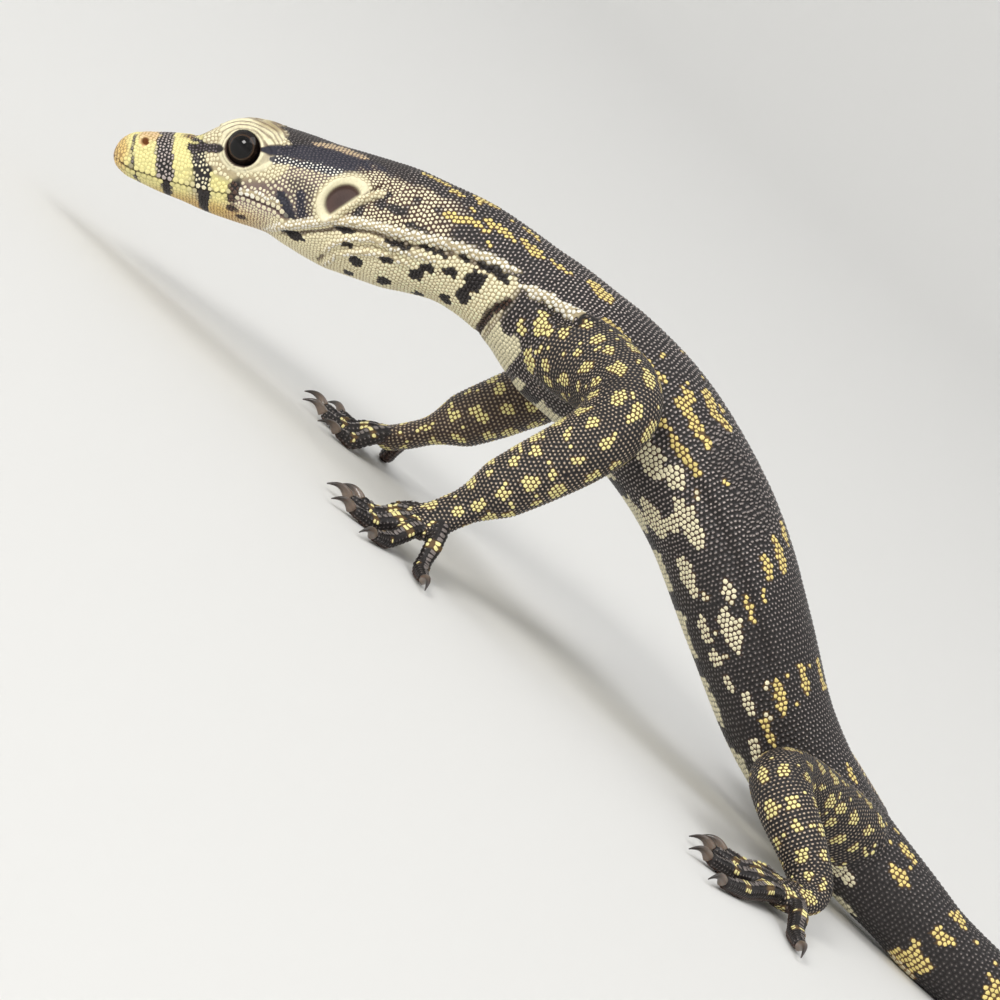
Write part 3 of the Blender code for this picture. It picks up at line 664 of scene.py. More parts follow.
NECK_FOLD, GULAR_FOLD, SHOULDER_FOLD = FOLDS[0], FOLDS[5], FOLDS[6]    # these have colours laid along them: white on the neck's and shoulder's ridges, and a dark line in the gular crease that is painted shade


def unrolled(line):
    """A line's places along and round the body, with the degrees as millimetres round it."""
    return [(at, degrees * PER_DEGREE) for at, degrees in line]


def swelling(gap, width):
    """A rounded swelling across a line or a ring: 1 at its middle, falling off as a bell of that width."""
    return np.exp(-(gap / width) ** 2)


def fold_relief(at, around):
    """Height over the plain body of the long folds of the neck, shoulder and flank: a bell across each
    fold's line, which dies away towards the line's ends."""
    height = np.zeros(np.shape(at))
    for fold in FOLDS:
        gap, share = polyline_distance(at, np.abs(around) * PER_DEGREE, unrolled(fold.line))
        fade = smooth_step(0.0, 0.12, share) * smooth_step(0.0, 0.12, 1 - share)
        height += fold.height * swelling(gap, fold.width) * (0.25 + 0.75 * fade)
    return height


def lid_squeeze(run, distance):
    """How much nearer a place counts as it lies before or behind the eye, the further out the more."""
    stretch = np.where(run > 0, LID_STRETCH[1], LID_STRETCH[0])
    return 1 - stretch * (run / np.maximum(distance, 0.1)) ** 2 * smooth_step(1.9, 3.6, distance)


def lid_distance(at, above):
    """Distance from the eye's middle, with the outer rings drawn out along the head."""
    distance = np.hypot(at - EYE[0], above - EYE[1])
    return distance * lid_squeeze(at - EYE[0], distance)


def lid_end(at, above):
    """How far from the eye's middle the bare folds reach."""
    over = above - EYE[1] - 0.34 * np.abs(at - EYE[0])
    return LID_ENDS[0] + (LID_ENDS[1] - LID_ENDS[0]) * smooth_step(0.0, 1.1, over)


def lid_crease(eye):
    """1 along the creases between the lids' folds, 0 on the folds."""
    return smooth_step(0.1, 0.9, -np.cos(2 * math.pi * (eye - LID_FIRST) / LID_STEP))


def ear_distance(at, above):
    """Distance from the ear's middle in its own ellipse, 1 at its rim."""
    tilt = math.radians(EAR_TILT)
    along, across = at - EAR[0], above - EAR[1]
    long_way = along * math.cos(tilt) + across * math.sin(tilt)
    short_way = -along * math.sin(tilt) + across * math.cos(tilt)
    return np.hypot(long_way / EAR_LONG, short_way / EAR_SHORT)


def ear_fold(at, above):
    """Distance from the fold that crosses the ear, more than 0 on the side of the ear's middle."""
    return (above - EAR_FOLD[1]) * EAR_FOLD_RUN[0] - (at - EAR_FOLD[0]) * EAR_FOLD_RUN[1]


def ear_cup(at, above):
    """1 in the ear's open cup, 0 outside it and under the fold."""
    inside = 1 - smooth_step(0.82, 1.02, ear_distance(at, above))
    return inside * smooth_step(0.1, 0.4, ear_fold(at, above))


def ear_rim(at, above):
    """1 in the ear and on its smooth rim, 0 outside it and behind the fold."""
    inside = 1 - smooth_step(1.36, 1.46, ear_distance(at, above))
    return inside * smooth_step(-0.15, 0.15, ear_fold(at, above))


def nostril_distance(at, above, squeeze=1.0):
    """Distance from the nostril's middle. A squeeze over 1 flattens its ring."""
    return np.hypot(at - NOSTRIL[0], (above - NOSTRIL[1]) * squeeze)


def lip_line(behind):
    """Height over the floor of the line where the lips meet, behind the snout's tip."""
    return graded(MOUTH, behind)


def lid_relief(at, above):
    """The sunk socket, the lids' rim, their folds as waves over the distance from the eye, the brow's
    ridge with a groove under it, and the hollow before the eye."""
    eye = lid_distance(at, above)
    end = lid_end(at, above)
    folded = smooth_step(1.9, 2.15, eye) * (1 - smooth_step(end - 0.1, end + 0.25, eye))
    relief = folded * (0.10 - 0.16 * lid_crease(eye))
    relief += 0.20 * swelling(eye - LID_RIM, 0.2)
    relief -= SOCKET_DEPTH * (1 - smooth_step(1.55, 2.02, eye))
    gap, _ = polyline_distance(at, above, BROW_RIDGE)
    relief += 0.22 * swelling(gap, 0.45)
    relief -= 0.18 * swelling(gap - 0.75, 0.3) * (above < 5.6)
    relief -= 0.28 * np.exp(-(((at - 9.8) / 2.0) ** 2 + ((above - 1.9) / 1.0) ** 2))
    return relief


def mouth_relief(behind, over):
    """The groove between the lips, the upper lip's swelling over it and the lower lip set back under it.
    over is the height over the lips' line."""
    closed = 1 - smooth_step(MOUTH_CORNER - 1.5, MOUTH_CORNER + 1.2, behind)
    lips = 0.12 * swelling(over - 0.45, 0.4) - 0.10 * smooth_step(0.05, -0.25, over)
    return closed * (lips - MOUTH_DEPTH * swelling(over, 0.12))


def cheek_relief(at, above):
    """Two long folds of the cheek, and four short creases that slant down over the jaw's corner."""
    gap, _ = polyline_distance(at, above, UPPER_CHEEK_FOLD)
    relief = 0.20 * swelling(gap, 0.4)
    gap, _ = polyline_distance(at, above, LOWER_CHEEK_FOLD)
    relief += 0.16 * swelling(gap, 0.45)
    for k in range(4):
        crease = ((20.6 + 0.7 * k, -0.5 + 0.2 * k), (22.4 + 0.75 * k, -2.4 - 0.1 * k))
        gap, _ = polyline_distance(at, above, crease)
        relief -= 0.10 * swelling(gap, 0.22)
    return relief


def nostril_relief(at, above):
    """A soft ring round a small pit."""
    nostril = nostril_distance(at, above, 1.15)
    pit = NOSTRIL_DEPTH * (1 - smooth_step(0.25, NOSTRIL_R + 0.12, nostril))
    return 0.14 * swelling(nostril - 0.85, 0.3) - pit


def ear_relief(at, above):
    """The ear's sunk cup in its swollen rim, and the fold over its lower rear with a groove behind it."""
    fold = ear_fold(at, above)
    relief = -EAR_DEPTH * ear_cup(at, above)
    relief += 0.34 * swelling(ear_distance(at, above) - 1.26, 0.18) * smooth_step(-0.2, 0.6, fold)
    gap, share = polyline_distance(at, above, EAR_FOLD_LINE)
    fade = smooth_step(0.0, 0.1, share) * (1 - smooth_step(0.85, 1.0, share))
    relief += 0.34 * swelling(gap, 0.42) * fade
    relief -= 0.30 * swelling(gap - 0.7, 0.3) * (fold < 0) * smooth_step(0.05, 0.2, share)
    return relief


def head_relief(at, above, behind, height):
    """Height over the plain head of all its features. behind and height are the distance behind the
    snout's tip and over the floor."""
    relief = lid_relief(at, above) + mouth_relief(behind, height - lip_line(behind))
    return relief + cheek_relief(at, above) + nostril_relief(at, above) + ear_relief(at, above)


def head_skin_points(at, around):
    """The head's finished surface: the plain sections, moved along their normals by the features and
    folds. The normal is square to a small step along the body and one round it."""
    plain = body_surface(at, around)
    nudge = 0.05
    after = body_surface(np.minimum(at + nudge, TAIL_END), around)
    along = after - body_surface(np.maximum(at - nudge, 0), around)
    round_ = body_surface(at, around + 0.5) - body_surface(at, around - 0.5)
    normal = np.cross(along, round_)
    normal /= np.maximum(np.linalg.norm(normal, axis=-1), 1e-9)[..., None]
    centre, _, _, up = body_frames(np.ravel(at))
    centre = centre.reshape(plain.shape)
    outward = (normal * (plain - centre)).sum(axis=-1)
    normal *= np.sign(outward)[..., None]
    above = ((plain - centre) * up.reshape(plain.shape)).sum(axis=-1)
    relief = head_relief(at, above, plain[..., 0], plain[..., 2]) * smooth_step(0.4, 1.5, at)
    relief = relief * (1 - smooth_step(32.5, 34.5, at)) + fold_relief(at, around) * smooth_step(18, 22, at)
    relief = relief - 0.10 * smooth_step(34.0, HEAD_SKIN_END, at)
    return plain + normal * relief[..., None]


def stepped(start, end, pitch):
    """Places from start to end, a step apart that follows a table of (place, step)."""
    places = [start]
    while places[-1] < end:
        places.append(places[-1] + float(graded(pitch, places[-1])))
    return np.array(places[:-1])


# Steps of the head skin's grid along and round the head, finer at the nostrils and eyes.
HEAD_ROW_STEPS = (
    (2.6, 0.17), (2.8, 0.08), (4.6, 0.08), (4.8, 0.17),
    (10.4, 0.17), (10.8, 0.082), (20.4, 0.082), (20.8, 0.17),
)
HEAD_TURN_STEPS = ((4, 1.6), (8, 0.92), (98, 0.92), (104, 1.6))
SNOUT_ROWS = (0.004, 0.03, 0.1, 0.2, 0.35, 0.5, 0.7, 0.9)


def head_skin(surface):
    """The head's skin as one grid, from a small opening at the snout's very tip back under the neck."""
    at = np.r_[SNOUT_ROWS, stepped(1.1, HEAD_SKIN_END, HEAD_ROW_STEPS)]
    left = stepped(0.0, 179.9, HEAD_TURN_STEPS)
    around = np.r_[left, 180.0, -left[:0:-1]]
    grid_at, grid_around = np.meshgrid(at, around, indexing="ij")
    points = head_skin_points(grid_at, grid_around).reshape(-1, 3)
    quads = grid_faces(*grid_at.shape)[:, ::-1]
    made = add_mesh("skin_head", to_metres(points), quads, surface)
    return made, points, quads, grid_at.ravel(), grid_around.ravel()


def flesh_tubes():
    """Closed tubes of trunk and tail, limbs and digits, which run into one another where they join."""
    tail_end = TAIL_END - 1.2
    rows = np.r_[np.arange(BODY_SKIN_START, tail_end, 0.7), np.linspace(tail_end, TAIL_END - 0.02, 6)]
    tubes = [capped(body_surface(*np.meshgrid(rows, np.arange(0.0, 360.0, 4.0), indexing="ij")))]
    for limb in LIMBS:
        line, _ = limb_line(limb)
        tubes.append(capped(limb_rings(limb, np.linspace(0.0, lengths_along(line)[-1], 70), 36)))
        for _, *digit in digit_lines(limb):
            tubes.append(capped(digit_rings(digit, limb.foot.thickness, np.linspace(0, 1, 30), 16)))
    return tubes


def fused(tubes, surface):
    """One closed mesh of quads round all the tubes, by a voxel remesh: points, edges and quads."""
    points, faces, first = [], [], 0
    for tube_points, tube_faces in tubes:
        points.append(tube_points)
        faces += [[i + first for i in face] for face in tube_faces]
        first += len(tube_points)
    draft = add_mesh("draft", np.vstack(points), faces, surface)
    bm = bmesh.new()
    bm.from_mesh(draft.data)
    bmesh.ops.recalc_face_normals(bm, faces=bm.faces)
    bm.to_mesh(draft.data)
    bm.free()
    fuse = draft.modifiers.new("fuse", "REMESH")
    fuse.mode = "VOXEL"
    fuse.voxel_size = VOXEL
    mesh = bpy.data.meshes.new_from_object(draft.evaluated_get(bpy.context.evaluated_depsgraph_get()))
    bpy.data.objects.remove(draft)
    points, edges = mesh_arrays(mesh)
    quads = np.empty(len(mesh.loops), np.int32)
    mesh.loops.foreach_get("vertex_index", quads)
    bpy.data.meshes.remove(mesh)
    return points, edges, quads.reshape(-1, 4)


def body_skin(surface):
    """Trunk, tail, limbs and digits fused by a fine remesh, softened where limbs and digits join, then
    moved along their normals by the folds and cut flat at the floor."""
    points, edges, quads = fused(flesh_tubes(), surface)
    strength = np.full(len(points), 0.12)
    for limb in LIMBS:
        root, middle, _, palm = limb_joints(limb)
        shoulder = root + (middle - root) * 0.35
        strength += 0.55 * swelling(np.linalg.norm(points - shoulder, axis=1), 6.0)
        strength += 0.35 * swelling(np.linalg.norm(points - palm, axis=1), 3.0)
    points = relax(points, edges, np.clip(strength, 0.0, 0.85), 14)
    at, around, _, _ = body_place(points)
    centre, _, _, _ = body_frames(at)
    wide, rise, drop, _ = body_sizes(at)
    near_body = np.linalg.norm(points - centre, axis=1) < np.maximum(np.maximum(rise, drop), wide) + 1.2
    normal = vertex_normals(points, quads)
    points = points + normal * (fold_relief(at, around) * near_body)[:, None]
    points[:, 2] = np.maximum(points[:, 2], 0.0)
    made = add_mesh("skin_body", to_metres(points), quads, surface)
    return made, points, quads


# Markings

DOT = 0.28               # share of a dark scale that its pale dot takes
PLATE = 0.86             # share that a plain scale's flat crown takes
YELLOW_SHARE = 0.80
YELLOW_GROUND = TAN * 0.42
BELLY_BAR_STEP = 8.2
TAIL_RING_STEP = 9.5

Spot = namedtuple("Spot", "at around long wide")
# Yellow spots of the back: along the spine, degrees from the back, half length in mm, half width in degrees.
BACK_SPOTS = (
    Spot(36.0, 12, 1.6, 4), Spot(38.8, 21, 1.0, 5), Spot(41.6, 9, 1.6, 6), Spot(39.6, 55, 1.9, 4),
    Spot(41.8, 51, 1.9, 4), Spot(44.4, 41, 2.1, 5), Spot(48.4, 37, 1.8, 6), Spot(52.0, 35, 1.6, 4),
    Spot(47.0, 14, 1.2, 4), Spot(56.8, 27, 1.9, 8), Spot(60.8, 57, 1.9, 8), Spot(66.0, 55, 2.5, 3),
    Spot(70.8, 45, 1.2, 5), Spot(71.3, 56, 1.3, 5), Spot(72.4, 25, 1.2, 7), Spot(74.0, 32, 1.2, 6),
    Spot(74.4, 57, 2.3, 6), Spot(75.4, 25, 1.0, 5), Spot(71.6, 78, 1.6, 3), Spot(74.6, 79, 1.9, 4),
    Spot(77.4, 77, 1.6, 3), Spot(88.0, 14, 1.4, 5), Spot(90.0, 35, 2.1, 6), Spot(90.6, 53, 1.7, 5),
    Spot(93.6, 65, 0.9, 3), Spot(94.4, 79, 1.6, 3), Spot(104.0, 47, 2.2, 5), Spot(105.2, 76, 2.2, 5),
    Spot(108.4, 97, 1.8, 4), Spot(105.0, 16, 2.0, 5), Spot(118.0, 30, 1.8, 6), Spot(119.0, 62, 1.8, 6),
    Spot(130.0, 24, 1.7, 7), Spot(131.0, 60, 1.7, 8),
)
# Cream spots of the flank, of larger scales.
FLANK_SPOTS = (
    Spot(73.8, 101, 2.3, 10), Spot(77.2, 93, 1.5, 6), Spot(80.4, 130, 2.7, 9), Spot(79.2, 152, 1.8, 9),
    Spot(82.6, 100, 2.9, 7), Spot(82.0, 115, 1.0, 9), Spot(88.4, 121, 2.6, 7), Spot(91.6, 90, 1.4, 4),
    Spot(96.0, 98, 2.4, 8), Spot(95.2, 123, 1.5, 6), Spot(98.8, 123, 1.0, 5), Spot(102.0, 117, 1.2, 5),
    Spot(104.8, 104, 1.2, 5), Spot(111.0, 118, 2.0, 8), Spot(118.0, 104, 1.8, 9), Spot(126.0, 112, 1.8, 9),
)
# Yellow patches at the front of the shoulder.
BREAST_SPOTS = (
    Spot(52.6, 108, 0.9, 5), Spot(54.6, 96, 1.5, 6), Spot(56.4, 118, 1.3, 8), Spot(58.6, 104, 1.0, 5),
    Spot(53.6, 86, 0.8, 4), Spot(60.2, 92, 0.9, 5),
)
# Black blotches of the throat.
THROAT_BLOTCHES = (
    Spot(22.8, 130, 1.8, 6), Spot(28.8, 104, 1.1, 3), Spot(29.7, 117, 0.7, 4), Spot(35.2, 101, 1.7, 3),
    Spot(31.2, 133, 0.8, 6), Spot(34.6, 119, 1.0, 5), Spot(34.8, 151, 0.8, 7), Spot(38.5, 126, 0.8, 8),
    Spot(39.4, 113, 0.9, 5), Spot(42.2, 107, 1.0, 5), Spot(44.8, 122, 1.0, 13), Spot(45.2, 100, 1.3, 12),
    Spot(46.4, 82, 2.4, 6), Spot(39.2, 94, 2.0, 3), Spot(42.4, 88, 1.0, 3), Spot(39.4, 163, 0.9, 9),
    Spot(43.0, 146, 0.9, 9), Spot(30.6, 158, 0.7, 7),
)

# Brown spots under the eye, and black blotches of the neck behind the ear.
CHEEK_SPOTS = (
    Spot(15.3, 94, 0.8, 5), Spot(15.2, 106, 0.7, 6), Spot(15.4, 122, 0.7, 6), Spot(16.6, 136, 0.7, 6),
)
NECK_BLOTCHES = (Spot(33.8, 71, 1.6, 5), Spot(36.6, 80, 1.6, 4))

# Lines of colour on the head: distance along the spine, and height above it.
LORE_STREAKS = (
    ((8.6, 2.9), (9.4, 2.0), (10.2, 1.2)), ((10.0, 3.6), (10.8, 2.6), (11.8, 1.9)), ((8.8, 3.5), (10.6, 3.4)),
)
STRIPE_BEFORE_EYE = ((8.8, 2.4), (11.0, 2.9), (12.9, 3.2))
STRIPE_BEHIND_EYE = ((17.2, 4.2), (19.3, 4.6), (21.5, 5.0), (23.7, 5.2), (27.9, 5.35), (31.5, 5.2))
WHITE_UNDER_STRIPE = ((18.6, 3.5), (22.5, 3.9), (27.0, 4.1))
TAN_OVER_STRIPE = ((22.4, 6.3), (25.0, 6.45), (28.4, 6.35))
JAW_MUSCLE = ((21.6, 1.6), (23.4, 1.0), (24.3, -1.2), (24.2, -2.6))
JAW_MARKS = (((20.5, 0.1), (21.6, -1.0), (22.9, -2.3)), ((22.9, 0.9), (23.3, -0.6), (24.0, -2.2)))
LIP_END = ((16.0, -0.9), (18.5, -0.8), (21.2, -1.2))
# Lines along the spine and degrees from the back.
FOLD_BEHIND_EAR = ((27.3, 97), (29.4, 76), (31.8, 58))
# Where the throat's pale colour starts: degrees from the back, along the spine.
THROAT_EDGE = ((20, 116), (26, 103), (28.5, 97), (35, 90), (41, 82), (48.5, 74), (52, 84))


def spots(at, around, wobble, these, grow=1.0):
    """1 inside the spots, 0 outside, with uneven edges."""
    found = np.zeros(len(at))
    for spot in these:
        gap = np.hypot((at - spot.at) / spot.long, (np.abs(around) - spot.around) / spot.wide) / grow
        found = np.maximum(found, 1 - smooth_step(0.75, 1.25, gap + wobble * 0.22))
    return found


def band(x, middle, half):
    """1 within half of the middle, with a soft edge."""
    return 1 - smooth_step(half - 0.16, half + 0.16, np.abs(x - middle))


def stripe(x, y, line, width, edge=0.3):
    """1 along a line, to that width on both sides and half of it at the ends, with a soft edge."""
    gap, share = polyline_distance(x, y, line)
    taper = smooth_step(0.0, 0.08, share) * smooth_step(0.0, 0.08, 1 - share)
    half = width * (0.5 + 0.5 * taper)
    return 1 - smooth_step(half * (1 - edge), half * (1 + edge), gap)


def jittered_spots(u, v, pitch, radius, seed):
    """Spots at chance places, one in each cell of a lattice of that pitch, with chance sizes."""
    found = np.zeros(len(u))
    cell_u, cell_v = np.floor(u / pitch), np.floor(v / pitch)
    apart = 7.13         # so far apart in the noise that neighbouring cells read unlike values
    for du in (-1, 0, 1):
        for dv in (-1, 0, 1):
            cell = np.stack([cell_u + du, cell_v + dv, np.full(len(u), seed)], axis=1) * apart + 0.37
            shift_u = lattice_noise(cell, 1.0, seed + 1) * 0.33
            shift_v = lattice_noise(cell, 1.0, seed + 2) * 0.33
            size = radius * (1.0 + 0.45 * lattice_noise(cell, 1.0, seed + 3))
            gap = np.hypot(u - (cell[:, 0] / apart + 0.45 + shift_u) * pitch,
                           v - (cell[:, 1] / apart + 0.45 + shift_v) * pitch)
            found = np.maximum(found, 1 - smooth_step(size * 0.75, size * 1.2, gap))
    return found


class Colours:
    """Each scale's crown, the ground round it, and how much of the scale the crown takes, in layers. bar is
    the least of the scale's width that the crown takes, so that crowns draw out into bars across the body."""

    def __init__(self, count, crown, ground, share):
        self.crown = np.tile(crown, (count, 1)).astype(float)
        self.ground = np.tile(ground, (count, 1)).astype(float)
        self.share = np.full(count, float(share))
        self.bar = np.zeros(count)

    def lay(self, mask, crown, ground, share):
        """Lays a crown, a ground and a share on where mask is 1."""
        mask = np.clip(mask, 0.0, 1.0)
        self.crown += (np.asarray(crown) - self.crown) * mask[:, None]
        self.ground += (np.asarray(ground) - self.ground) * mask[:, None]
        self.share += (np.asarray(share) - self.share) * mask

    def pick(self, mask, crown, ground, share):
        """Lays a colour on whole scales: those where mask is over a half."""
        self.lay((mask > 0.5).astype(float), crown, ground, share)


def head_colours(points, at, around, above, height):
    """Head: yellow snout with dark bands, pale brow, dark stripe behind the eye, dotted cheeks. Each layer
    lies over those before it, under a mask that fades along, round or over the head."""
    wobble = lattice_noise(points, 0.9, 3)
    fine = lattice_noise(points, 0.45, 5)
    side = np.abs(around)
    tint = Colours(len(points), LILAC * 0.5, BLACK * 1.3, DOT)
    pale_face(tint, at, above, side, wobble, fine)
    snout_bands(tint, at, above, side, height < lip_line(points[:, 0]), wobble, fine)
    crown = 1 - smooth_step(26, 36, side + 5 * wobble)
    mottled = smooth_step(-0.3, 0.3, wobble) * (1 - smooth_step(11, 13, at))
    tint.lay(crown * smooth_step(7.0, 8.4, at) * mottled, STRAW, BROWN, 0.6)
    tint.lay(crown * smooth_step(15.5, 18.5, at), LILAC * 0.40, BLACK * 1.5, DOT + 0.08)
    eye_colours(tint, at, above, wobble, fine)
    cheek_marks(tint, at, around, above, wobble, fine)
    neck_colours(tint, points, at, around, wobble)
    rim = 1 - smooth_step(1.42, 1.75, ear_distance(at, above))
    tint.lay(rim * smooth_step(-0.3, 0.3, ear_fold(at, above)), PALE, SHADE, PLATE)
    return tint


def pale_face(tint, at, above, side, wobble, fine):
    """Cream cheeks and chin, a yellow snout and lip, golden towards the snout's tip and the lower jaw, and
    pink on top round the nostrils."""
    cheek = smooth_step(13.5, 16.5, at) * smooth_step(44, 58, side)
    tint.lay(cheek, CREAM * (0.90 + 0.12 * wobble)[:, None], CHEEK * (0.95 + 0.3 * fine)[:, None], 0.70)
    snout = 1 - smooth_step(9.0, 12.5, at + wobble * 0.8)
    tint.lay(snout, LEMON * 0.96, LEMON * 0.82, PLATE)
    under = smooth_step(98, 112, side + 6 * wobble)
    tint.lay(under * smooth_step(9, 13, at), CREAM * 0.96, CHEEK * 1.5, PLATE)
    lip = 1 - smooth_step(14.6, 16.0, at - 0.25 * above + 0.5 * wobble)
    lip *= smooth_step(11.0, 12.5, at) * smooth_step(66, 78, side)
    tint.lay(lip, LEMON * 0.96, LEMON * 0.80, PLATE)
    tint.lay((1 - smooth_step(1.0, 2.4, at + 0.5 * wobble)) * 0.85, GOLD, TAN * 1.2, PLATE)
    low = smooth_step(-2.2, -3.8, above) * (1 - smooth_step(14, 22, at))
    tint.lay(low * 0.85, GOLD * 0.95, TAN * 1.2, PLATE)
    top = band(at, 4.0, 1.2) * smooth_step(2.1, 2.7, above)
    tint.lay(top * 0.75, SNOUT_PINK, TAN * 1.2, PLATE)


def cheek_marks(tint, at, around, above, wobble, fine):
    """The tan line over the dark stripe, brown spots under the eye, dark creases over the jaw's corner,
    and the white end of the upper lip."""
    tint.lay(stripe(at, above, TAN_OVER_STRIPE, 0.22 + 0.1 * fine), TEMPLE_TAN, CHEEK * 0.6, 0.8)
    tint.lay(spots(at, around, wobble, CHEEK_SPOTS), BROWN, BLACK * 1.5, PLATE)
    tint.lay(stripe(at, above, JAW_MUSCLE, 1.1, 0.6), CREAM * 0.80, CHEEK * 0.45, 0.55)
    tint.lay(stripe(at, above, JAW_MARKS[0], 0.60), BLUE_BLACK * 1.6, BLUE_BLACK, DOT)
    tint.lay(stripe(at, above, JAW_MARKS[1], 0.55), LILAC * 0.8, BLUE_BLACK, DOT)
    tint.lay(stripe(at, above, LIP_END, 0.30), WHITE, SHADE, PLATE)


# Half widths of the second and third dark bands of the snout, by the height above the spine.
SECOND_BAND = ((-3.0, 0.45), (-1.6, 0.75), (-1.3, 0.98), (3.0, 0.90))
THIRD_BAND = ((-3.6, 0.4), (-2.2, 0.9), (-1.6, 1.1), (1.0, 1.25), (3.4, 0.9))


def snout_bands(tint, at, above, side, lower, wobble, fine):
    """Three dark bands that slant down and back over the snout. The second and third end in a black patch
    on the lower lip, and the third breaks up into streaks on top."""
    slant = at + 0.22 * above
    first = band(slant, 2.85 + 0.2 * wobble, 0.17 + 0.08 * fine) * (side > 24)
    tint.lay(first, LILAC * 0.45, BLACK, 0.6)
    second = band(slant, 6.55 + 0.25 * wobble, graded(SECOND_BAND, above) + 0.12 * fine)
    tint.lay(second, LILAC * 1.05, BLACK * 1.2, 0.56)
    tint.lay(second * lower, BLACK * 1.5, BLACK, PLATE)
    third = band(slant, 11.1 + 0.3 * wobble, graded(THIRD_BAND, above) + 0.15 * fine)
    third *= smooth_step(52, 60, side + 6 * fine)
    tint.lay(third, CREAM * 0.9, BLACK * 1.2, 0.60)
    tint.lay(third * lower, BLACK * 1.5, BLACK, PLATE)
    for line in LORE_STREAKS:
        tint.lay(stripe(at, above, line, 0.26 + 0.1 * fine), LILAC * 0.35, BLACK, 0.6)


def eye_colours(tint, at, above, wobble, fine):
    """Pale lids whose thin creases are darkened as painted shade, a pale brow drawn out behind the eye, and a
    dark stripe below.
    """
    eye = lid_distance(at, above)
    brow = 1 - smooth_step(3.75, 4.15, eye + 0.2 * wobble)
    brow *= smooth_step(-0.6, 0.8, above - 0.25 * (at - EYE[0]))
    tint.lay(brow, PALE, SHADE, PLATE)
    top = smooth_step(6.2, 6.9, above) * smooth_step(14.8, 17.5, at + 0.6 * wobble)
    tint.lay(brow * top * 0.7, STRAW * 0.6, BROWN, 0.7)
    tint.lay(1 - smooth_step(2.8, 3.2, eye), PALE * 0.97, SHADE, PLATE)
    # The lids' creases are darkened, more strongly above the eye, as painted shade.
    upper = smooth_step(-1.0, 1.0, above - EYE[1])
    crease = lid_crease(eye + 0.05 * wobble) * (eye < lid_end(at, above))
    tint.lay(crease * (0.35 + 0.35 * upper + 0.2 * fine), BROWN * 1.6, BROWN, PLATE)
    tint.lay(stripe(at, above, STRIPE_BEFORE_EYE, 0.50), SLATE * 2.2, BLACK * 1.3, 0.5)
    wide = graded(((17.0, 0.45), (19.5, 0.70), (23.0, 0.95)), at)
    tint.lay(stripe(at, above, STRIPE_BEHIND_EYE, wide), SLATE * 1.7, BLUE_BLACK, DOT)
    tint.lay(stripe(at, above, WHITE_UNDER_STRIPE, 0.42 + 0.2 * fine), WHITE, BLUE_BLACK, 0.55)


def neck_colours(tint, points, at, around, wobble):
    """Neck and throat, shared by the head's and the body's scales: cream granules with dark blotches on the
    side, and a pale throat, laid brighter as painted light, with white ridges, creases darkened as painted
    shade, and black blotches."""
    side = np.abs(around)
    round_mm = side * PER_DEGREE
    relief = fold_relief(at, around)
    throat = smooth_step(-1.5, 2.5, side - graded(THROAT_EDGE, at)) * smooth_step(19.0, 21.5, at)
    throat *= 1 - smooth_step(49, 50.5, at)
    granules = smooth_step(30, 44, side + 10 * wobble) * smooth_step(27.5, 29.5, at)
    granules *= (1 - smooth_step(38.0, 41.5, at + 1.6 * wobble)) * (1 - throat)
    dark = smooth_step(0.35, 0.6, lattice_noise(points, 1.3, 29))
    tint.lay(granules, CREAM, BROWN * 1.2, 0.70)
    tint.lay(granules * dark, LILAC * 0.8, BLACK, DOT + 0.1)
    tint.lay(spots(at, around, wobble, NECK_BLOTCHES), LILAC * 0.7, BLACK, DOT)
    # The throat's pale is laid a little brighter than PALE. This is painted light on an underside that lies
    # in shade.
    tint.lay(throat, PALE * 1.06, SHADE * 1.1, PLATE)
    tint.lay(throat * smooth_step(0.12, 0.34, relief), WHITE, SHADE, PLATE)
    # Darker colours in the throat's creases, where the folds dip, are painted shade.
    tint.lay(throat * smooth_step(-0.14, -0.32, relief) * 0.8, CHEEK * 0.8, BROWN * 0.7, 0.7)
    tint.pick(throat * spots(at, around, wobble, THROAT_BLOTCHES), BLACK * 1.4, BLACK, PLATE)
    tint.lay(stripe(at, round_mm, unrolled(NECK_FOLD.line), 0.60), WHITE, SHADE * 1.1, PLATE)
    tint.lay(stripe(at, round_mm, unrolled(FOLD_BEHIND_EAR), 0.45), PALE, SHADE * 1.1, PLATE)


def trunk_colours(points, at, around):
    """Neck, trunk and tail: black with pale dots, yellow spots in rows, cream flank spots and belly."""
    wobble = lattice_noise(points, 1.1, 11)
    fine = lattice_noise(points, 0.5, 13)
    side = np.abs(around)
    round_mm = side * PER_DEGREE
    tint = Colours(len(points), BLACK, BLACK, DOT)
    dark_ground(tint, points, at, side, fine)
    neck_colours(tint, points, at, around, wobble)
    tint.pick(spots(at, around, wobble, BACK_SPOTS), YELLOW, YELLOW_GROUND, YELLOW_SHARE)
    tint.pick(spots(at, around, wobble, FLANK_SPOTS, grow=1.15), CREAM, BROWN, PLATE)
    specks = jittered_spots(at, round_mm * 1.2, 3.6, 0.40, 23) * (side < 125) * smooth_step(36, 44, at)
    specks *= smooth_step(0.0, 0.3, lattice_noise(points, 6.0, 37))
    tint.pick(specks, np.where((side < 80)[:, None], YELLOW, CREAM), YELLOW_GROUND, YELLOW_SHARE)
    tint.pick(stripe(at, round_mm, unrolled(SHOULDER_FOLD.line[:3]), 0.70), WHITE, SHADE, PLATE)
    breast = smooth_step(112, 126, side + 8 * wobble) * band(at, 52.2, 2.3)
    tint.pick(breast, CREAM, CREAM * 0.62, PLATE)
    tint.pick(spots(at, around, wobble, BREAST_SPOTS), LEMON, TAN * 0.5, PLATE)
    # The gular fold's dark brown line is painted shade in its crease.
    tint.lay(stripe(at, round_mm, unrolled(GULAR_FOLD.line), 0.55), BROWN * 0.9, BLACK, PLATE)
    barred_belly(tint, at, side, wobble)
    tail_rings(tint, points, at, side, wobble)
    return tint


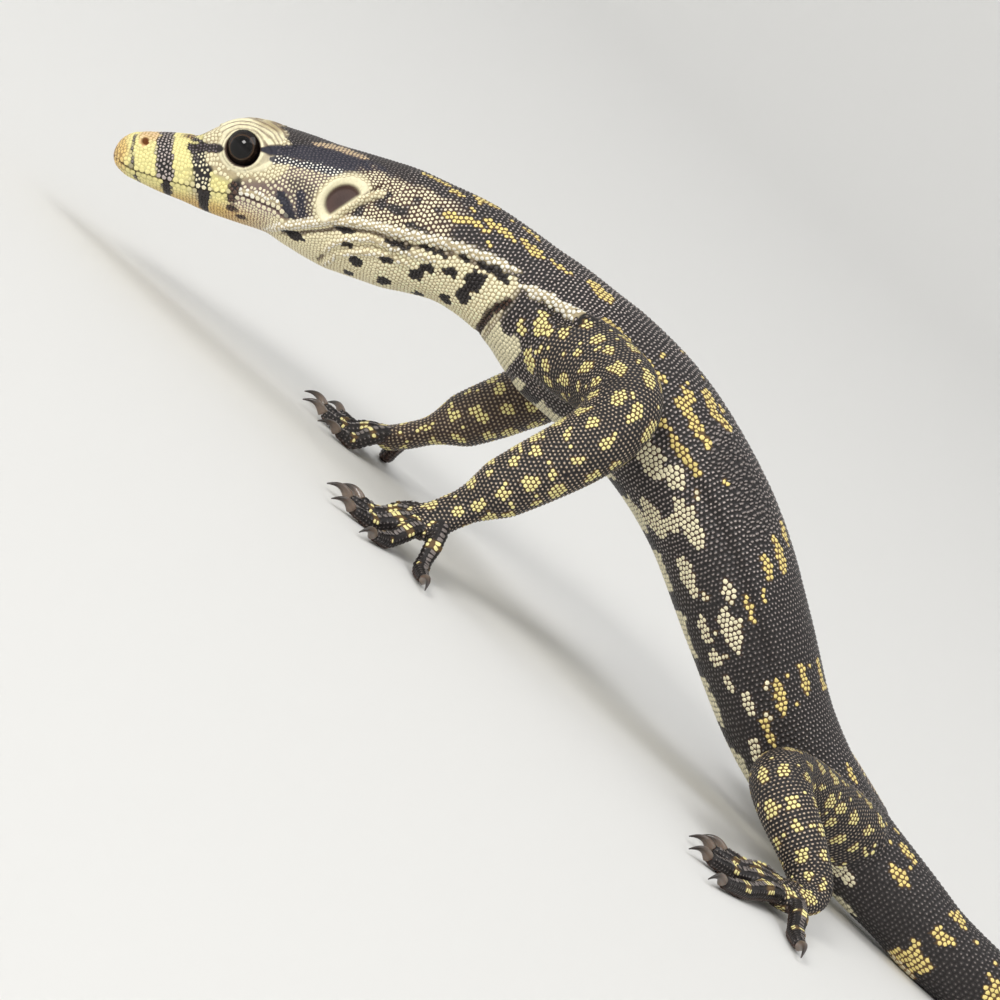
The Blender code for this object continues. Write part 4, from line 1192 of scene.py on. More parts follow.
def dark_ground(tint, points, at, side, fine):
    """Pale dots on black: dimmer low on the flank, behind the ribs, where the dimming is partly painted
    shade, on the hips and on the tail, and drawn out into bars over the shoulders and the ribs."""
    light = 0.95 + 0.25 * lattice_noise(points, 5.0, 17) + 0.25 * fine
    light *= 1 - 0.45 * smooth_step(76, 90, at) * smooth_step(64, 80, side)
    # From 88 mm on, the dots are dimmed. This is partly because they are fainter there, and partly painted
    # shade over the back.
    light *= 1 - 0.25 * smooth_step(88, 98, at)
    light *= 1 - 0.45 * smooth_step(VENT - 20, VENT + 6, at)
    tint.crown[:] = LILAC * np.clip(light, 0.1, 1.2)[:, None]
    tint.share[:] = DOT * graded(((60, 1.25), (80, 1.05), (120, 0.9)), at)
    creased = creased_skin(at, side)
    tint.bar[:] = np.maximum(0.55 * smooth_step(40, 46, at) * (1 - smooth_step(88, 98, at)), creased)
    tint.crown *= (1 - 0.45 * creased)[:, None]


def barred_belly(tint, at, side, wobble):
    """A cream belly with black bars across it, a fixed step apart, bowed by a cosine of the degrees round
    the body. They stop short of the belly's middle."""
    belly = smooth_step(142, 152, side + 6 * wobble) * smooth_step(54, 58, at)
    belly *= 1 - smooth_step(128, 136, at)
    tint.pick(belly, CREAM, CREAM * 0.45, PLATE)
    bowed = at + 1.2 * np.cos(np.radians(2 * side))
    bars = smooth_step(0.35, 0.65, np.sin(2 * math.pi * bowed / BELLY_BAR_STEP) + 0.2 * wobble)
    tint.pick(belly * bars * (1 - smooth_step(166, 174, side)), BLACK * 1.4, BLACK, PLATE)


def tail_rings(tint, points, at, side, wobble):
    """Yellow rings round the tail, a fixed step apart and broken by chance, cream on its underside."""
    tail = smooth_step(VENT - 4, VENT + 4, at)
    rings = smooth_step(0.30, 0.62, np.sin(2 * math.pi * (at - VENT) / TAIL_RING_STEP) + 0.40 * wobble)
    broken = smooth_step(-0.2, 0.25, lattice_noise(points * (0.5, 1, 1), 1.9, 19) + 0.3 * (side > 60))
    tint.pick(tail * rings * broken, YELLOW, YELLOW_GROUND, YELLOW_SHARE)
    tint.pick(tail * smooth_step(140, 152, side) * rings, CREAM, TAN, PLATE)


def limb_colours(points, along, around_mm, inner, seed):
    """Limbs: black with faint dots and clusters of yellow scales, paler on the inner side."""
    wobble = lattice_noise(points, 0.8, seed)
    dots = 0.95 + 0.35 * lattice_noise(points, 2.5, seed + 1) + 0.25 * wobble
    tint = Colours(len(points), BLACK, BLACK, DOT * 1.3)
    tint.crown[:] = DUST * np.clip(dots, 0.2, 1.3)[:, None]
    tint.bar[:] = 0.50
    tint.lay(inner * 0.35, STRAW * 0.5, BROWN, 0.5)
    patches = jittered_spots(along, around_mm, 3.0, 0.80, seed)
    small = jittered_spots(along + 1.4, around_mm + 1.1, 3.1, 0.30, seed + 5)
    tint.pick(np.maximum(patches, small), LEMON * 1.02, TAN * 0.4, YELLOW_SHARE)
    return tint


def digit_colours(points, share, up, seed):
    """Digits: black with a yellow patch over each joint, at thirds of the length, and a brown underside."""
    tint = Colours(len(points), LILAC * 0.4, BLACK, DOT)
    wobble = lattice_noise(points, 0.6, seed)
    patch = smooth_step(0.55, 0.85, np.cos(2 * math.pi * share * 3.0) + 0.25 * wobble)
    tint.pick(patch * smooth_step(0.1, 0.4, up) * (share < 0.92), LEMON, TAN * 0.4, PLATE)
    tint.lay(smooth_step(-0.3, -0.7, up), BROWN, BROWN * 0.6, PLATE)
    return tint


# Scales

# One array for each fact of a scale: where it lies, which way it faces and runs, its half length, half
# width and height, its colours as in Colours, and its place on the unwrapped skin.
Scales = namedtuple("Scales", "place facing along length width height share bar crown ground uv")
HEAD_SCALE_ROWS = ((0, 0.38), (8, 0.42), (16, 0.38), (30, 0.40))
HEAD_SCALE_WIDTHS = ((0, 0.38), (8, 0.42), (16, 0.40), (30, 0.42))
TRUNK_SCALE_ROWS = (
    (33, 0.42), (45, 0.47), (60, 0.52), (80, 0.58), (120, 0.60), (150, 0.68), (240, 0.60), (320, 0.5),
)
LIMB_SCALE = 0.52
DIGIT_SCALE = 0.46
SHIELD_STEP = 0.62       # from one lip shield to the next
SHIELD_FROM_MOUTH = 0.43
SCALE_FILL = 0.56        # a scale's half width, as a share of the room between scales

# How scales are set down on the skin: how far off it they may start, how squarely they have to face it,
# and how near to an earlier one they may lie, as a share of their size.
Hold = namedtuple("Hold", "reach facing crowding")
HEAD_HOLD = Hold(0.5, 0.3, 0.42)
TRUNK_HOLD = Hold(1.3, 0.3, 0.42)
LIMB_HOLD = Hold(0.75, 0.62, 0.52)


def lay_out(place, facing, along, length, width, height, tint, uv):
    """Scales at places, with their colours. Single sizes are spread over all of them."""
    full = np.ones(len(place))
    return Scales(
        place, facing, along, length * full, width * full, height * full,
        tint.share, tint.bar, tint.crown, tint.ground, uv
    )


def body_uv(at, around):
    """A place on the unwrapped body: along the spine, and round it."""
    return np.stack([(at + 2) / 340.0, 0.13 + around / 360.0 * 0.24], axis=1)


def joined(groups):
    """Several sets of scales as one."""
    return Scales(*(np.concatenate([getattr(g, field) for g in groups]) for field in Scales._fields))


def kept(scales, mask):
    """Only the scales that a mask or slice picks."""
    return Scales(*(getattr(scales, field)[mask] for field in Scales._fields))


def rows_round(at, counts):
    """Places in rows across the body: each row has its own count, every other row set off by half a step."""
    row_at, around, step = [], [], []
    for k, (s, count) in enumerate(zip(at, counts)):
        degrees = (np.arange(count) + 0.5 * (k % 2)) * 360.0 / count
        row_at.append(np.full(count, s))
        around.append(np.where(degrees > 180, degrees - 360, degrees))
        step.append(np.full(count, 360.0 / count))
    return np.concatenate(row_at), np.concatenate(around), np.concatenate(step)


def chance(count, seed):
    """Chance values from -1 to 1, the same on every run."""
    return np.random.default_rng(seed).uniform(-1.0, 1.0, count)


def girth_at(rows):
    """The body's girth: that of an ellipse as wide and high as the section."""
    wide, rise, drop, _ = body_sizes(rows)
    return 2 * math.pi * np.sqrt((wide ** 2 + ((rise + drop) / 2) ** 2) / 2)


def bare_skin(at, above):
    """True where no small scale grows: lids, ear and its rim, and nostril."""
    eye = lid_distance(at, above) < lid_end(at, above) + 0.05
    ear = (ear_rim(at, above) > 0.5) | (ear_cup(at, above) > 0.25)
    return eye | ear | (nostril_distance(at, above) < NOSTRIL_R + 0.20)


def head_scales():
    """Small scales in rows round the head, set a little off their rows by chance, and lip shields."""
    rows = stepped(0.5, BODY_SKIN_START + 0.6, HEAD_SCALE_ROWS)
    girth = girth_at(rows) * 1.04
    counts = np.maximum(8, (girth / graded(HEAD_SCALE_WIDTHS, rows)).astype(int))
    at, around, step = rows_round(rows, counts)
    size = SCALE_FILL * np.interp(at, rows, girth / counts)
    at = at + 0.09 * chance(len(at), 41)
    around = around + 0.22 * step * chance(len(at), 42)
    place, facing, along, above = head_place(at, around)
    lips = (np.abs(place[:, 2] - lip_line(place[:, 0])) < 0.72) & (place[:, 0] < MOUTH_CORNER) & (at > 1.0)
    tint = head_colours(place, at, around, above, place[:, 2])
    height = graded(((8, 0.026), (15, 0.060)), at) * np.where(np.abs(around) > 100, 0.6, 1.0)
    whole = lay_out(place, facing, along, size, size, height, tint, body_uv(at, around))
    shields = [lip_shields(side, upper) for side in (-1, 1) for upper in (True, False)]
    return shields + [kept(whole, ~(bare_skin(at, above) | lips))]


def head_place(at, around):
    """Places on the head's finished surface, their outward and backward directions, and their heights
    over the spine."""
    place = head_skin_points(at, around)
    centre, _, _, up = body_frames(at)
    along = head_skin_points(at + 0.15, around) - place
    return place, place - centre, along, ((place - centre) * up).sum(axis=1)


def lip_shields(side, upper):
    """The row of larger shields along one lip: even steps behind the snout, set off from the mouth's line."""
    behind = np.arange(0.9, MOUTH_CORNER - 0.3, SHIELD_STEP)
    height = lip_line(behind) + (SHIELD_FROM_MOUTH if upper else -SHIELD_FROM_MOUTH)
    at, around = side_places(behind, height, side)
    place, facing, along, above = head_place(at, around)
    tint = head_colours(place, at, around, above, place[:, 2])
    tint.share[:] = PLATE
    uv = body_uv(at, around)
    return lay_out(place, facing, along, length=0.35, width=0.30, height=0.03, tint=tint, uv=uv)


def side_places(behind, height, side):
    """Places on the head's side that lie behind the snout's tip and over the floor by given amounts. Each
    of twelve rounds moves along the spine by what is missing, then turns to the height that is left."""
    at = behind * 1.15
    around = np.full(len(behind), 95.0) * -side
    for _ in range(12):
        centre, tangent, _, up = body_frames(at)
        here = body_surface(at, around)
        miss = np.stack([behind - here[:, 0], np.zeros(len(behind)), height - here[:, 2]], axis=1)
        at = np.clip(at + (miss * tangent).sum(axis=1) * 0.8, 0.3, 40)
        wanted = ((here + miss - centre) * up).sum(axis=1)
        _, rise, drop, square = body_sizes(at)
        share = np.clip(wanted / np.where(wanted > 0, rise, drop), -0.97, 0.97)
        angle = np.degrees(np.arcsin(np.sign(share) * np.abs(share) ** (square / 2)))
        around = -side * (90.0 - angle)
    return at, around


def trunk_scales():
    """Rows across neck, trunk and tail. Their count round the body is even, and fewer down the tail."""
    rows = stepped(BODY_SKIN_START, TAIL_END - 0.4, TRUNK_SCALE_ROWS)
    girth = girth_at(rows)
    counts = np.where(rows < VENT, (graded(((40, 92), (60, 108)), rows) / 2).astype(int) * 2, 108)
    counts = np.minimum(counts, np.maximum(8, 2 * (girth / 0.54 / 2).astype(int)))
    at, around, step = rows_round(rows, counts)
    width = np.interp(at, rows, girth / counts) * SCALE_FILL
    row_gap = np.interp(at, rows, np.gradient(rows))
    at = at + 0.20 * row_gap * chance(len(at), 43) + 0.38 * wrinkles(at, around)
    around = around + 0.16 * step * chance(len(at), 47)
    plain = body_surface(at, around)
    centre, tangent, _, _ = body_frames(at)
    facing = plain - centre
    facing /= np.linalg.norm(facing, axis=1)[:, None]
    place = plain + facing * fold_relief(at, around)[:, None]
    tint = trunk_colours(plain, at, around)
    tint.crown *= (1 + 0.10 * chance(len(at), 53))[:, None]
    height = np.where(np.abs(around) > 120, 0.055, 0.080)
    return lay_out(place, facing, tangent, row_gap * 0.58, width, height, tint, body_uv(at, around))


def wrinkles(at, around):
    """Waves of the loose skin over the ribs, from -1 to 1, strongest high on the flank."""
    side = np.abs(around)
    wave = side / 11.0 + 0.08 * at + 0.15 * np.sin(side / 4.0 + 0.9 * at)
    return creased_skin(at, side) * np.sin(2 * math.pi * wave)


def creased_skin(at, side):
    """1 where the loose skin over the ribs lies in fine creases, 0 elsewhere."""
    here = smooth_step(71, 76, at) * (1 - smooth_step(86, 91, at))
    return here * smooth_step(18, 26, side) * (1 - smooth_step(58, 68, side))


def limb_scales(limb, number):
    """Rows round a limb from its root to the palm's front, evenly apart where the skin is longest."""
    line, _ = limb_line(limb)
    facets = 64
    fine = np.arange(0.3, lengths_along(line)[-1] - 0.2, 0.08)
    steps = np.linalg.norm(np.diff(limb_rings(limb, fine, facets), axis=0), axis=2).max(axis=1)
    travelled = np.r_[0.0, np.cumsum(steps)]
    rows = np.interp(np.arange(0.0, travelled[-1], LIMB_SCALE), travelled, fine)
    rings = limb_rings(limb, rows, facets)
    girth = np.linalg.norm(np.roll(rings, 1, axis=1) - rings, axis=2).sum(axis=1)
    counts = np.maximum(10, (girth / LIMB_SCALE).astype(int))
    at, around, step = rows_round(rows, counts)
    row = np.searchsorted(rows, at)
    around = around + 0.2 * step * chance(len(at), 59 + number)
    at = at + 0.07 * chance(len(at), 63 + number)
    turn = (around % 360.0) / 360.0 * facets
    low = turn.astype(int) % facets
    part = (turn - turn.astype(int))[:, None]
    place = rings[row, low] * (1 - part) + rings[row, (low + 1) % facets] * part
    ahead = points_at(line, at + 0.3) - points_at(line, at - 0.3)
    facing = place - points_at(line, at)
    inner = smooth_step(0.3, 0.9, facing[:, 1] * -limb.side / np.linalg.norm(facing, axis=1))
    width = (girth / counts)[row] * SCALE_FILL
    tint = limb_colours(place, at, around / 360.0 * girth[row], inner, 31 + 7 * number)
    uv = np.stack([0.02 + at / 160.0, 0.32 + 0.09 * number + (around + 180) / 360.0 * 0.08], axis=1)
    return lay_out(place, facing, ahead, 0.31, width, 0.080, tint, uv)


def digit_scales(limb, number):
    """Each digit has a row of broad scutes on top, and small scales on its sides and below."""
    groups = []
    facets = 12
    for k, *digit in digit_lines(limb):
        length = digit[2]
        share = np.arange(0.5, length - 0.15, DIGIT_SCALE) / length
        rings = digit_rings(digit, limb.foot.thickness, share, facets)
        centre = rings.mean(axis=1)
        top = np.argmax(rings[len(share) // 2, :, 2])
        rings = np.roll(rings, -top, axis=1)
        spot = np.r_[0, np.arange(2, facets - 1)]
        place = rings[:, spot].reshape(-1, 3)
        rows = np.repeat(np.arange(len(share)), len(spot))
        facing = place - centre[rows]
        up = facing[:, 2] / limb.foot.thickness
        tint = digit_colours(place, share[rows], up, 61 + 5 * number + k)
        ahead = np.tile(digit[0], (len(place), 1))
        broad = np.tile(spot == 0, len(share))
        tint.share[broad] = PLATE
        uv = np.stack([0.35 + 0.12 * k + share[rows] * 0.1,
                       0.70 + 0.07 * number + np.tile(spot, len(share)) / facets * 0.05], axis=1)
        width = np.where(broad, 0.56, 0.25)
        groups.append(lay_out(place, facing, ahead, 0.26, width, 0.07, tint, uv))
    return groups


def snapped(groups, points, quads):
    """Sets scales down on the nearest place of a skin. Each group is a set of scales with its hold, and
    the scales that don't meet their hold are dropped."""
    tree = BVHTree.FromPolygons(points.tolist(), quads.tolist())
    scales = joined([part for part, _ in groups])
    counts = [len(part.place) for part, _ in groups]
    reach, facing_least, crowding = np.repeat([hold for _, hold in groups], counts, axis=0).T
    count = len(scales.place)
    place = np.empty((count, 3))
    normal = np.empty((count, 3))
    good = np.ones(count, bool)
    facing = scales.facing / np.linalg.norm(scales.facing, axis=1)[:, None]
    index = KDTree(count)
    for k in range(count):
        hit = tree.find_nearest(Vector(scales.place[k]))
        if hit[0] is None or hit[3] > reach[k]:
            good[k] = False
            hit = (Vector(), Vector((0, 0, 1)), 0, 0)
        place[k], normal[k] = hit[0], hit[1]
        index.insert(hit[0] if good[k] else Vector((0, 0, 1e4 + k)), k)
    good &= (facing * normal).sum(axis=1) > facing_least
    index.balance()
    size = scales.length + scales.width
    for k in np.nonzero(good)[0]:
        for _, other, _ in index.find_range(place[k], crowding[k] * size[k]):
            if other < k and good[other]:
                good[k] = False
                break
    return kept(scales._replace(place=place), good), normal[good]


SIDES = 6                # corners of one scale
NEIGHBOURS = 8
GROOVE = 0.96            # how much of the way to the border with its neighbours a scale fills
SHOULDER = 0.16          # how far out towards the rim the shoulder lies from the crown
TILT = 0.35              # how much higher a scale is at its rear
BAR = 0.90               # share of a scale's width that a bar takes at the most
SCALE_UV = 0.0015        # half width of a scale's patch on the map
SCALES_IN_PIECE = 7000


def scale_reach(scales, along, across, turn):
    """How far each scale reaches in each direction: half way to its neighbours, but not far beyond its own
    size. The border with a neighbour at (x, y) lies (x^2 + y^2) / 2 along that direction's share of it."""
    index = KDTree(len(scales.place))
    for k, place in enumerate(scales.place):
        index.insert(place, k)
    index.balance()
    near = [[other for _, other, _ in index.find_n(place, NEIGHBOURS + 1)][1:] for place in scales.place]
    gap = scales.place[np.array(near)] - scales.place[:, None]
    x = (gap * along[:, None]).sum(axis=2)
    y = (gap * across[:, None]).sum(axis=2)
    half = (x ** 2 + y ** 2) / 2
    reach = []
    for cos, sin in zip(np.cos(turn), np.sin(turn)):
        border = (half / np.maximum(x * cos + y * sin, 1e-6)).min(axis=1)
        own = 1.0 / np.hypot(cos / scales.length, sin / scales.width)
        reach.append(np.minimum(border * GROOVE, own * 1.25))
    return np.stack(reach, axis=1)


def scale_mesh(name, scales, normal, surface):
    """Low domes that tile the skin. Each has a rim sunk into it, a shoulder in the ground's colour just
    outside the crown, and a flat crown of its own share, broader across the body where it is a bar."""
    along = scales.along - normal * (scales.along * normal).sum(axis=1)[:, None]
    along /= np.maximum(np.linalg.norm(along, axis=1), 1e-9)[:, None]
    across = np.cross(normal, along)
    turn = np.arange(SIDES) * 2 * math.pi / SIDES
    reach = scale_reach(scales, along, across, turn)
    crown = scales.share
    broad = np.maximum(crown, BAR * scales.bar)
    rim = np.ones(len(along))
    points, colours, uv = [], [], []
    for share, wide, lift, colour in (
        (rim, rim, -0.25, scales.ground),
        (crown + SHOULDER * (1 - crown), broad + SHOULDER * (1 - broad), 0.80, scales.ground * 1.15),
        (crown, broad, 1.0, scales.crown),
    ):
        for k, (cos, sin) in enumerate(zip(np.cos(turn), np.sin(turn))):
            rise = scales.height * lift * (1.0 + TILT * cos * (lift > 0))
            ahead = along * (cos * reach[:, k] * share)[:, None]
            aside = across * (sin * reach[:, k] * wide)[:, None]
            points.append(scales.place + (ahead + aside) + normal * rise[:, None])
            colours.append(colour)
            uv.append(scales.uv + SCALE_UV * share[:, None] * np.array((cos, sin)))
    points = np.stack(points, axis=1)
    points[..., 2] = np.maximum(points[..., 2], 0.01)
    base = (np.arange(len(points)) * 3 * SIDES)[:, None]
    sides = []
    for ring in (0, SIDES):
        for k in range(SIDES):
            after = (k + 1) % SIDES
            sides.append(base + ring + np.array((k, after, SIDES + after, SIDES + k)))
    top = [base + 2 * SIDES + np.array((0, k, k + 1, k + 2)) for k in range(1, SIDES - 1, 2)]
    faces = np.stack(sides + top, axis=1).reshape(-1, 4)
    made = add_mesh(name, to_metres(points.reshape(-1, 3)), faces, surface)
    paint(made, np.clip(np.stack(colours, axis=1).reshape(-1, 3), 0.0, 1.0))
    set_uv(made, np.stack(uv, axis=1).reshape(-1, 2))
    return made


# Materials


def new_material(name, roughness):
    """A material with its shader's roughness set, and its nodes and links."""
    surface = bpy.data.materials.new(name)
    surface.use_nodes = True
    shader = surface.node_tree.nodes["Principled BSDF"]
    shader.inputs["Roughness"].default_value = roughness
    return surface, surface.node_tree.nodes, surface.node_tree.links, shader


def grained_tint(nodes, links, shader, scale, detail, darkest, lightest):
    """The tint laid on the vertices, made darker and lighter by a noise over the object, as the shader's
    colour. Returns the noise."""
    tint = nodes.new("ShaderNodeAttribute")
    tint.attribute_name = "tint"
    place = nodes.new("ShaderNodeTexCoord")
    grain = nodes.new("ShaderNodeTexNoise")
    grain.inputs["Scale"].default_value = scale
    grain.inputs["Detail"].default_value = detail
    links.new(place.outputs["Object"], grain.inputs["Vector"])
    shade = nodes.new("ShaderNodeMapRange")
    shade.inputs["To Min"].default_value = darkest
    shade.inputs["To Max"].default_value = lightest
    links.new(grain.outputs["Fac"], shade.inputs["Value"])
    mixed = nodes.new("ShaderNodeVectorMath")
    mixed.operation = "SCALE"
    links.new(tint.outputs["Color"], mixed.inputs[0])
    links.new(shade.outputs["Result"], mixed.inputs["Scale"])
    links.new(mixed.outputs["Vector"], shader.inputs["Base Color"])
    return grain


def scaly_material(name, roughness, grain, bump, coat):
    """Skin or scales: the tint broken up by a noise of that grain, which also roughens the surface."""
    surface, nodes, links, shader = new_material(name, roughness)
    noise = grained_tint(nodes, links, shader, scale=grain, detail=3.0, darkest=0.82, lightest=1.16)
    bumps = nodes.new("ShaderNodeBump")
    bumps.inputs["Strength"].default_value = bump
    bumps.inputs["Distance"].default_value = 0.0001
    links.new(noise.outputs["Fac"], bumps.inputs["Height"])
    links.new(bumps.outputs["Normal"], shader.inputs["Normal"])
    shader.inputs["Coat Weight"].default_value = coat
    shader.inputs["Coat Roughness"].default_value = 0.3
    return surface


def eye_material():
    """The eyeball's tint under a smooth wet gloss."""
    surface, nodes, links, shader = new_material("eye_glossy", 0.04)
    shader.inputs["Specular IOR Level"].default_value = 0.34
    tint = nodes.new("ShaderNodeAttribute")
    tint.attribute_name = "tint"
    links.new(tint.outputs["Color"], shader.inputs["Base Color"])
    return surface


def claw_material():
    """Grey-brown horn, darker towards the tip, with fine mottling, slightly translucent."""
    surface, nodes, links, shader = new_material("claw_horn", 0.32)
    shader.inputs["Coat Weight"].default_value = 0.4
    shader.inputs["Subsurface Weight"].default_value = 0.15
    shader.inputs["Subsurface Scale"].default_value = 0.0006
    grained_tint(nodes, links, shader, scale=2600.0, detail=2.0, darkest=0.7, lightest=1.25)
    return surface


# Eyes and claws


EYE_RINGS = 72
EYE_SIDES = 60
CORNEA = 0.14            # how far the eye's front bulges
GAZE = (0.10, 0.10)      # how far the eye looks ahead and up, as shares of its look outwards


def eye_points(side):
    """The eyeball: rings round the line of sight, from the pupil's middle to the back, on a ball whose
    front bulges as a cornea. Also gives each ring's degrees from the line of sight."""
    centre, tangent, left, up = (v[0] for v in body_frames(np.array([EYE[0]])))
    outward = left if side < 0 else -left
    middle = centre + up * EYE[1] + outward * EYE[2]
    gaze = outward - tangent * GAZE[0] + up * GAZE[1]
    gaze /= np.linalg.norm(gaze)
    across = np.cross(up, gaze)
    across /= np.linalg.norm(across)
    upward = np.cross(gaze, across)
    degrees = np.linspace(0.5, 179.5, EYE_RINGS)
    polar = np.radians(degrees)
    turn = np.radians(np.arange(EYE_SIDES) * 360.0 / EYE_SIDES)
    radius = EYEBALL_R + CORNEA * np.exp(-(degrees / 34.0) ** 4)
    ring = (radius * np.sin(polar))[:, None]
    points = (
        middle
        + gaze * (radius * np.cos(polar))[:, None, None]
        + across * (ring * np.cos(turn))[..., None]
        + upward * (ring * np.sin(turn))[..., None]
    )
    return points.reshape(-1, 3), np.repeat(degrees, EYE_SIDES)


def make_eye(side, name, surface):
    """A glossy eyeball: black pupil, thin golden ring, brown-black iris and dark edge, ring by ring."""
    points, degrees = eye_points(side)
    faces = grid_faces(EYE_RINGS, EYE_SIDES)[:, ::-1]
    made = add_mesh(name.replace("eye", "eyeball"), to_metres(points), faces, surface)
    fleck = lattice_noise(points, 0.25, 5)
    colours = np.tile(IRIS, (len(degrees), 1)) * (1 + 0.4 * fleck)[:, None]
    colours[degrees < 30] = PUPIL
    colours += (IRIS_GOLD - colours) * swelling(degrees - 33.0, 1.8)[:, None] * 0.7
    colours += (EYE_EDGE - colours) * smooth_step(42, 50, degrees)[:, None]
    paint(made, np.clip(colours, 0, 1))
    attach(made, "root")
    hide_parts(name)


CLAW_RINGS = 20
CLAW_SIDES = 12


def make_claws(limb, surface):
    """One curved claw for each digit: a tube along a line that arches as half a sine wave and drops as a
    square to the floor, and that thins to a point."""
    _, _, foot_name, side_name = limb.names.split()
    for k, direction, knuckle, length in digit_lines(limb):
        line = digit_path(direction, knuckle, length, limb.foot.thickness, 8)
        share = np.linspace(0.0, 1.0, CLAW_RINGS)
        reach = CLAW_LENGTH * CLAW_SIZES[k] + GAP
        path = line[-1] + direction * (share * reach)[:, None]
        hook = CLAW_ARCH * np.sin(math.pi * share * 0.9) - (line[-1, 2] - CLAW_TIP_HEIGHT) * share ** 2
        path[:, 2] = line[-1, 2] + hook
        root = CLAW_R * 1.05
        radius = root + (CLAW_POINT_R - root) * share ** 1.15
        across = np.cross(direction, (0.0, 0.0, 1.0))
        rings = line_rings(path, lengths_along(path), radius * 0.8, radius, across, CLAW_SIDES)
        points, faces = capped(rings)
        name = f"claw_{foot_name}_{side_name}_{k + 1}"
        made = add_mesh("horn_" + name, to_metres(points), faces, surface)
        mix = np.repeat(smooth_step(0.1, 0.8, share), CLAW_SIDES)[:, None]
        paint(made, HORN_ROOT + (HORN_TIP - HORN_ROOT) * mix)
        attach(made, "root")
        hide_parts(name)


# The whole animal


def ground_near(points, scales):
    """The ground colour of the scale nearest to each point."""
    index = KDTree(len(scales.place))
    for k, place in enumerate(scales.place):
        index.insert(place, k)
    index.balance()
    return scales.ground[[index.find(point)[1] for point in points]]


def make_skin_and_scales():
    """The skins of the head and of the rest of the body, and the scales that are set down on them."""
    skin_surface = scaly_material("skin_between_scales", roughness=0.65, grain=5200.0, bump=0.35, coat=0.0)
    scale_surface = scaly_material("scales", roughness=0.40, grain=3800.0, bump=0.25, coat=0.08)
    head, head_points, head_quads, head_at, head_around = head_skin(skin_surface)
    body, body_points, body_quads = body_skin(skin_surface)
    head_set, head_normal = snapped([(joined(head_scales()), HEAD_HOLD)], head_points, head_quads)
    limbs = []
    for number, limb in enumerate(LIMBS):
        limbs += [limb_scales(limb, number)] + digit_scales(limb, number)
    groups = [(trunk_scales(), TRUNK_HOLD), (joined(limbs), LIMB_HOLD)]
    body_set, body_normal = snapped(groups, body_points, body_quads)
    add_scales("scales_head", head_set, head_normal, scale_surface)
    add_scales("scales_body", body_set, body_normal, scale_surface)
    head_tints(head, head_points, head_at, head_around)
    paint(body, ground_near(body_points, body_set) * 0.8)
    for made, slot in ((head, "head_skin"), (body, "dark_skin")):
        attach(made, "root")
    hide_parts("head", "lower_jaw")
    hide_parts(*[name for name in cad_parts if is_flesh(name)])


def is_flesh(name):
    """True for the nodes of neck, trunk, tail and limbs."""
    return not name.startswith(("claw", "eye", "head", "lower_jaw"))


def head_tints(made, points, at, around):
    """The head's skin: the scales' ground colours, bare lids, black painted shade in the eye's socket, the
    ear's membrane with painted shade deep in its cup, the mouth's line as painted shade in its groove, and
    nostrils.
    """
    centre, _, _, up = body_frames(at)
    above = ((points - centre) * up).sum(axis=1)
    tint = head_colours(points, at, around, above, points[:, 2])
    colours = tint.ground * 0.85

    def lay(colour, mask):
        colours[:] += (colour - colours) * mask[:, None]

    eye = lid_distance(at, above)
    end = lid_end(at, above)
    bare = np.maximum(1 - smooth_step(end - 0.1, end + 0.2, eye), ear_rim(at, above))
    grain = 1 + 0.10 * lattice_noise(points, 0.16, 61)[:, None]
    plain = tint.ground + (tint.crown * 0.96 - tint.ground) * smooth_step(0.5, PLATE, tint.share)[:, None]
    lay(plain * grain, bare)
    lay(BROWN, 1 - smooth_step(2.02, 2.12, eye))
    # Black down in the sunk socket, round the eyeball, is painted shade.
    lay(BLACK * 0.6, 1 - smooth_step(1.88, 2.0, eye))
    # The membrane is darkened towards the cup's middle as painted shade deep in the cup.
    cup_shade = 0.6 + 0.4 * smooth_step(0.2, 0.9, ear_distance(at, above))[:, None]
    lay(MEMBRANE * cup_shade, ear_cup(at, above))
    # The brown line where the lips meet is painted shade in the groove between them.
    mouth = points[:, 2] - lip_line(points[:, 0])
    closed = 1 - smooth_step(MOUTH_CORNER - 1.0, MOUTH_CORNER + 1.0, points[:, 0])
    lay(BROWN * 0.8, swelling(mouth, 0.12) * closed * 0.85)
    nostril = nostril_distance(at, above)
    lay(NOSTRIL_RIM, 1 - smooth_step(NOSTRIL_R + 0.1, NOSTRIL_R + 0.35, nostril))
    lay(RUST, 1 - smooth_step(NOSTRIL_R - 0.1, NOSTRIL_R + 0.1, nostril))
    paint(made, np.clip(colours, 0, 1))


def add_scales(name, scales, normal, surface):
    """Meshes of the scales, split so that none has too many triangles."""
    for number, first in enumerate(range(0, len(scales.place), SCALES_IN_PIECE)):
        part = slice(first, first + SCALES_IN_PIECE)
        made = scale_mesh(f"{name}_{number + 1}", kept(scales, part), normal[part], surface)
        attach(made, "root")


# Stage, light and camera


def view_axes():
    """The view's directions ahead, right and up: level with the animal's side, lifted, then rolled."""
    roll, lift = math.radians(VIEW_ROLL), math.radians(VIEW_LIFT)
    ahead = np.array((0.0, math.cos(lift), -math.sin(lift)))
    level_up = np.array((0.0, math.sin(lift), math.cos(lift)))
    back = np.array((1.0, 0.0, 0.0))
    right = math.cos(roll) * back + math.sin(roll) * level_up
    up = -math.sin(roll) * back + math.cos(roll) * level_up
    return ahead, right, up


def looking(place, ahead, right, up):
    """A matrix that puts a camera or lamp at a place, looking ahead."""
    rows = [(right[k], up[k], -ahead[k], place[k]) for k in range(3)]
    return Matrix((*rows, (0, 0, 0, 1)))


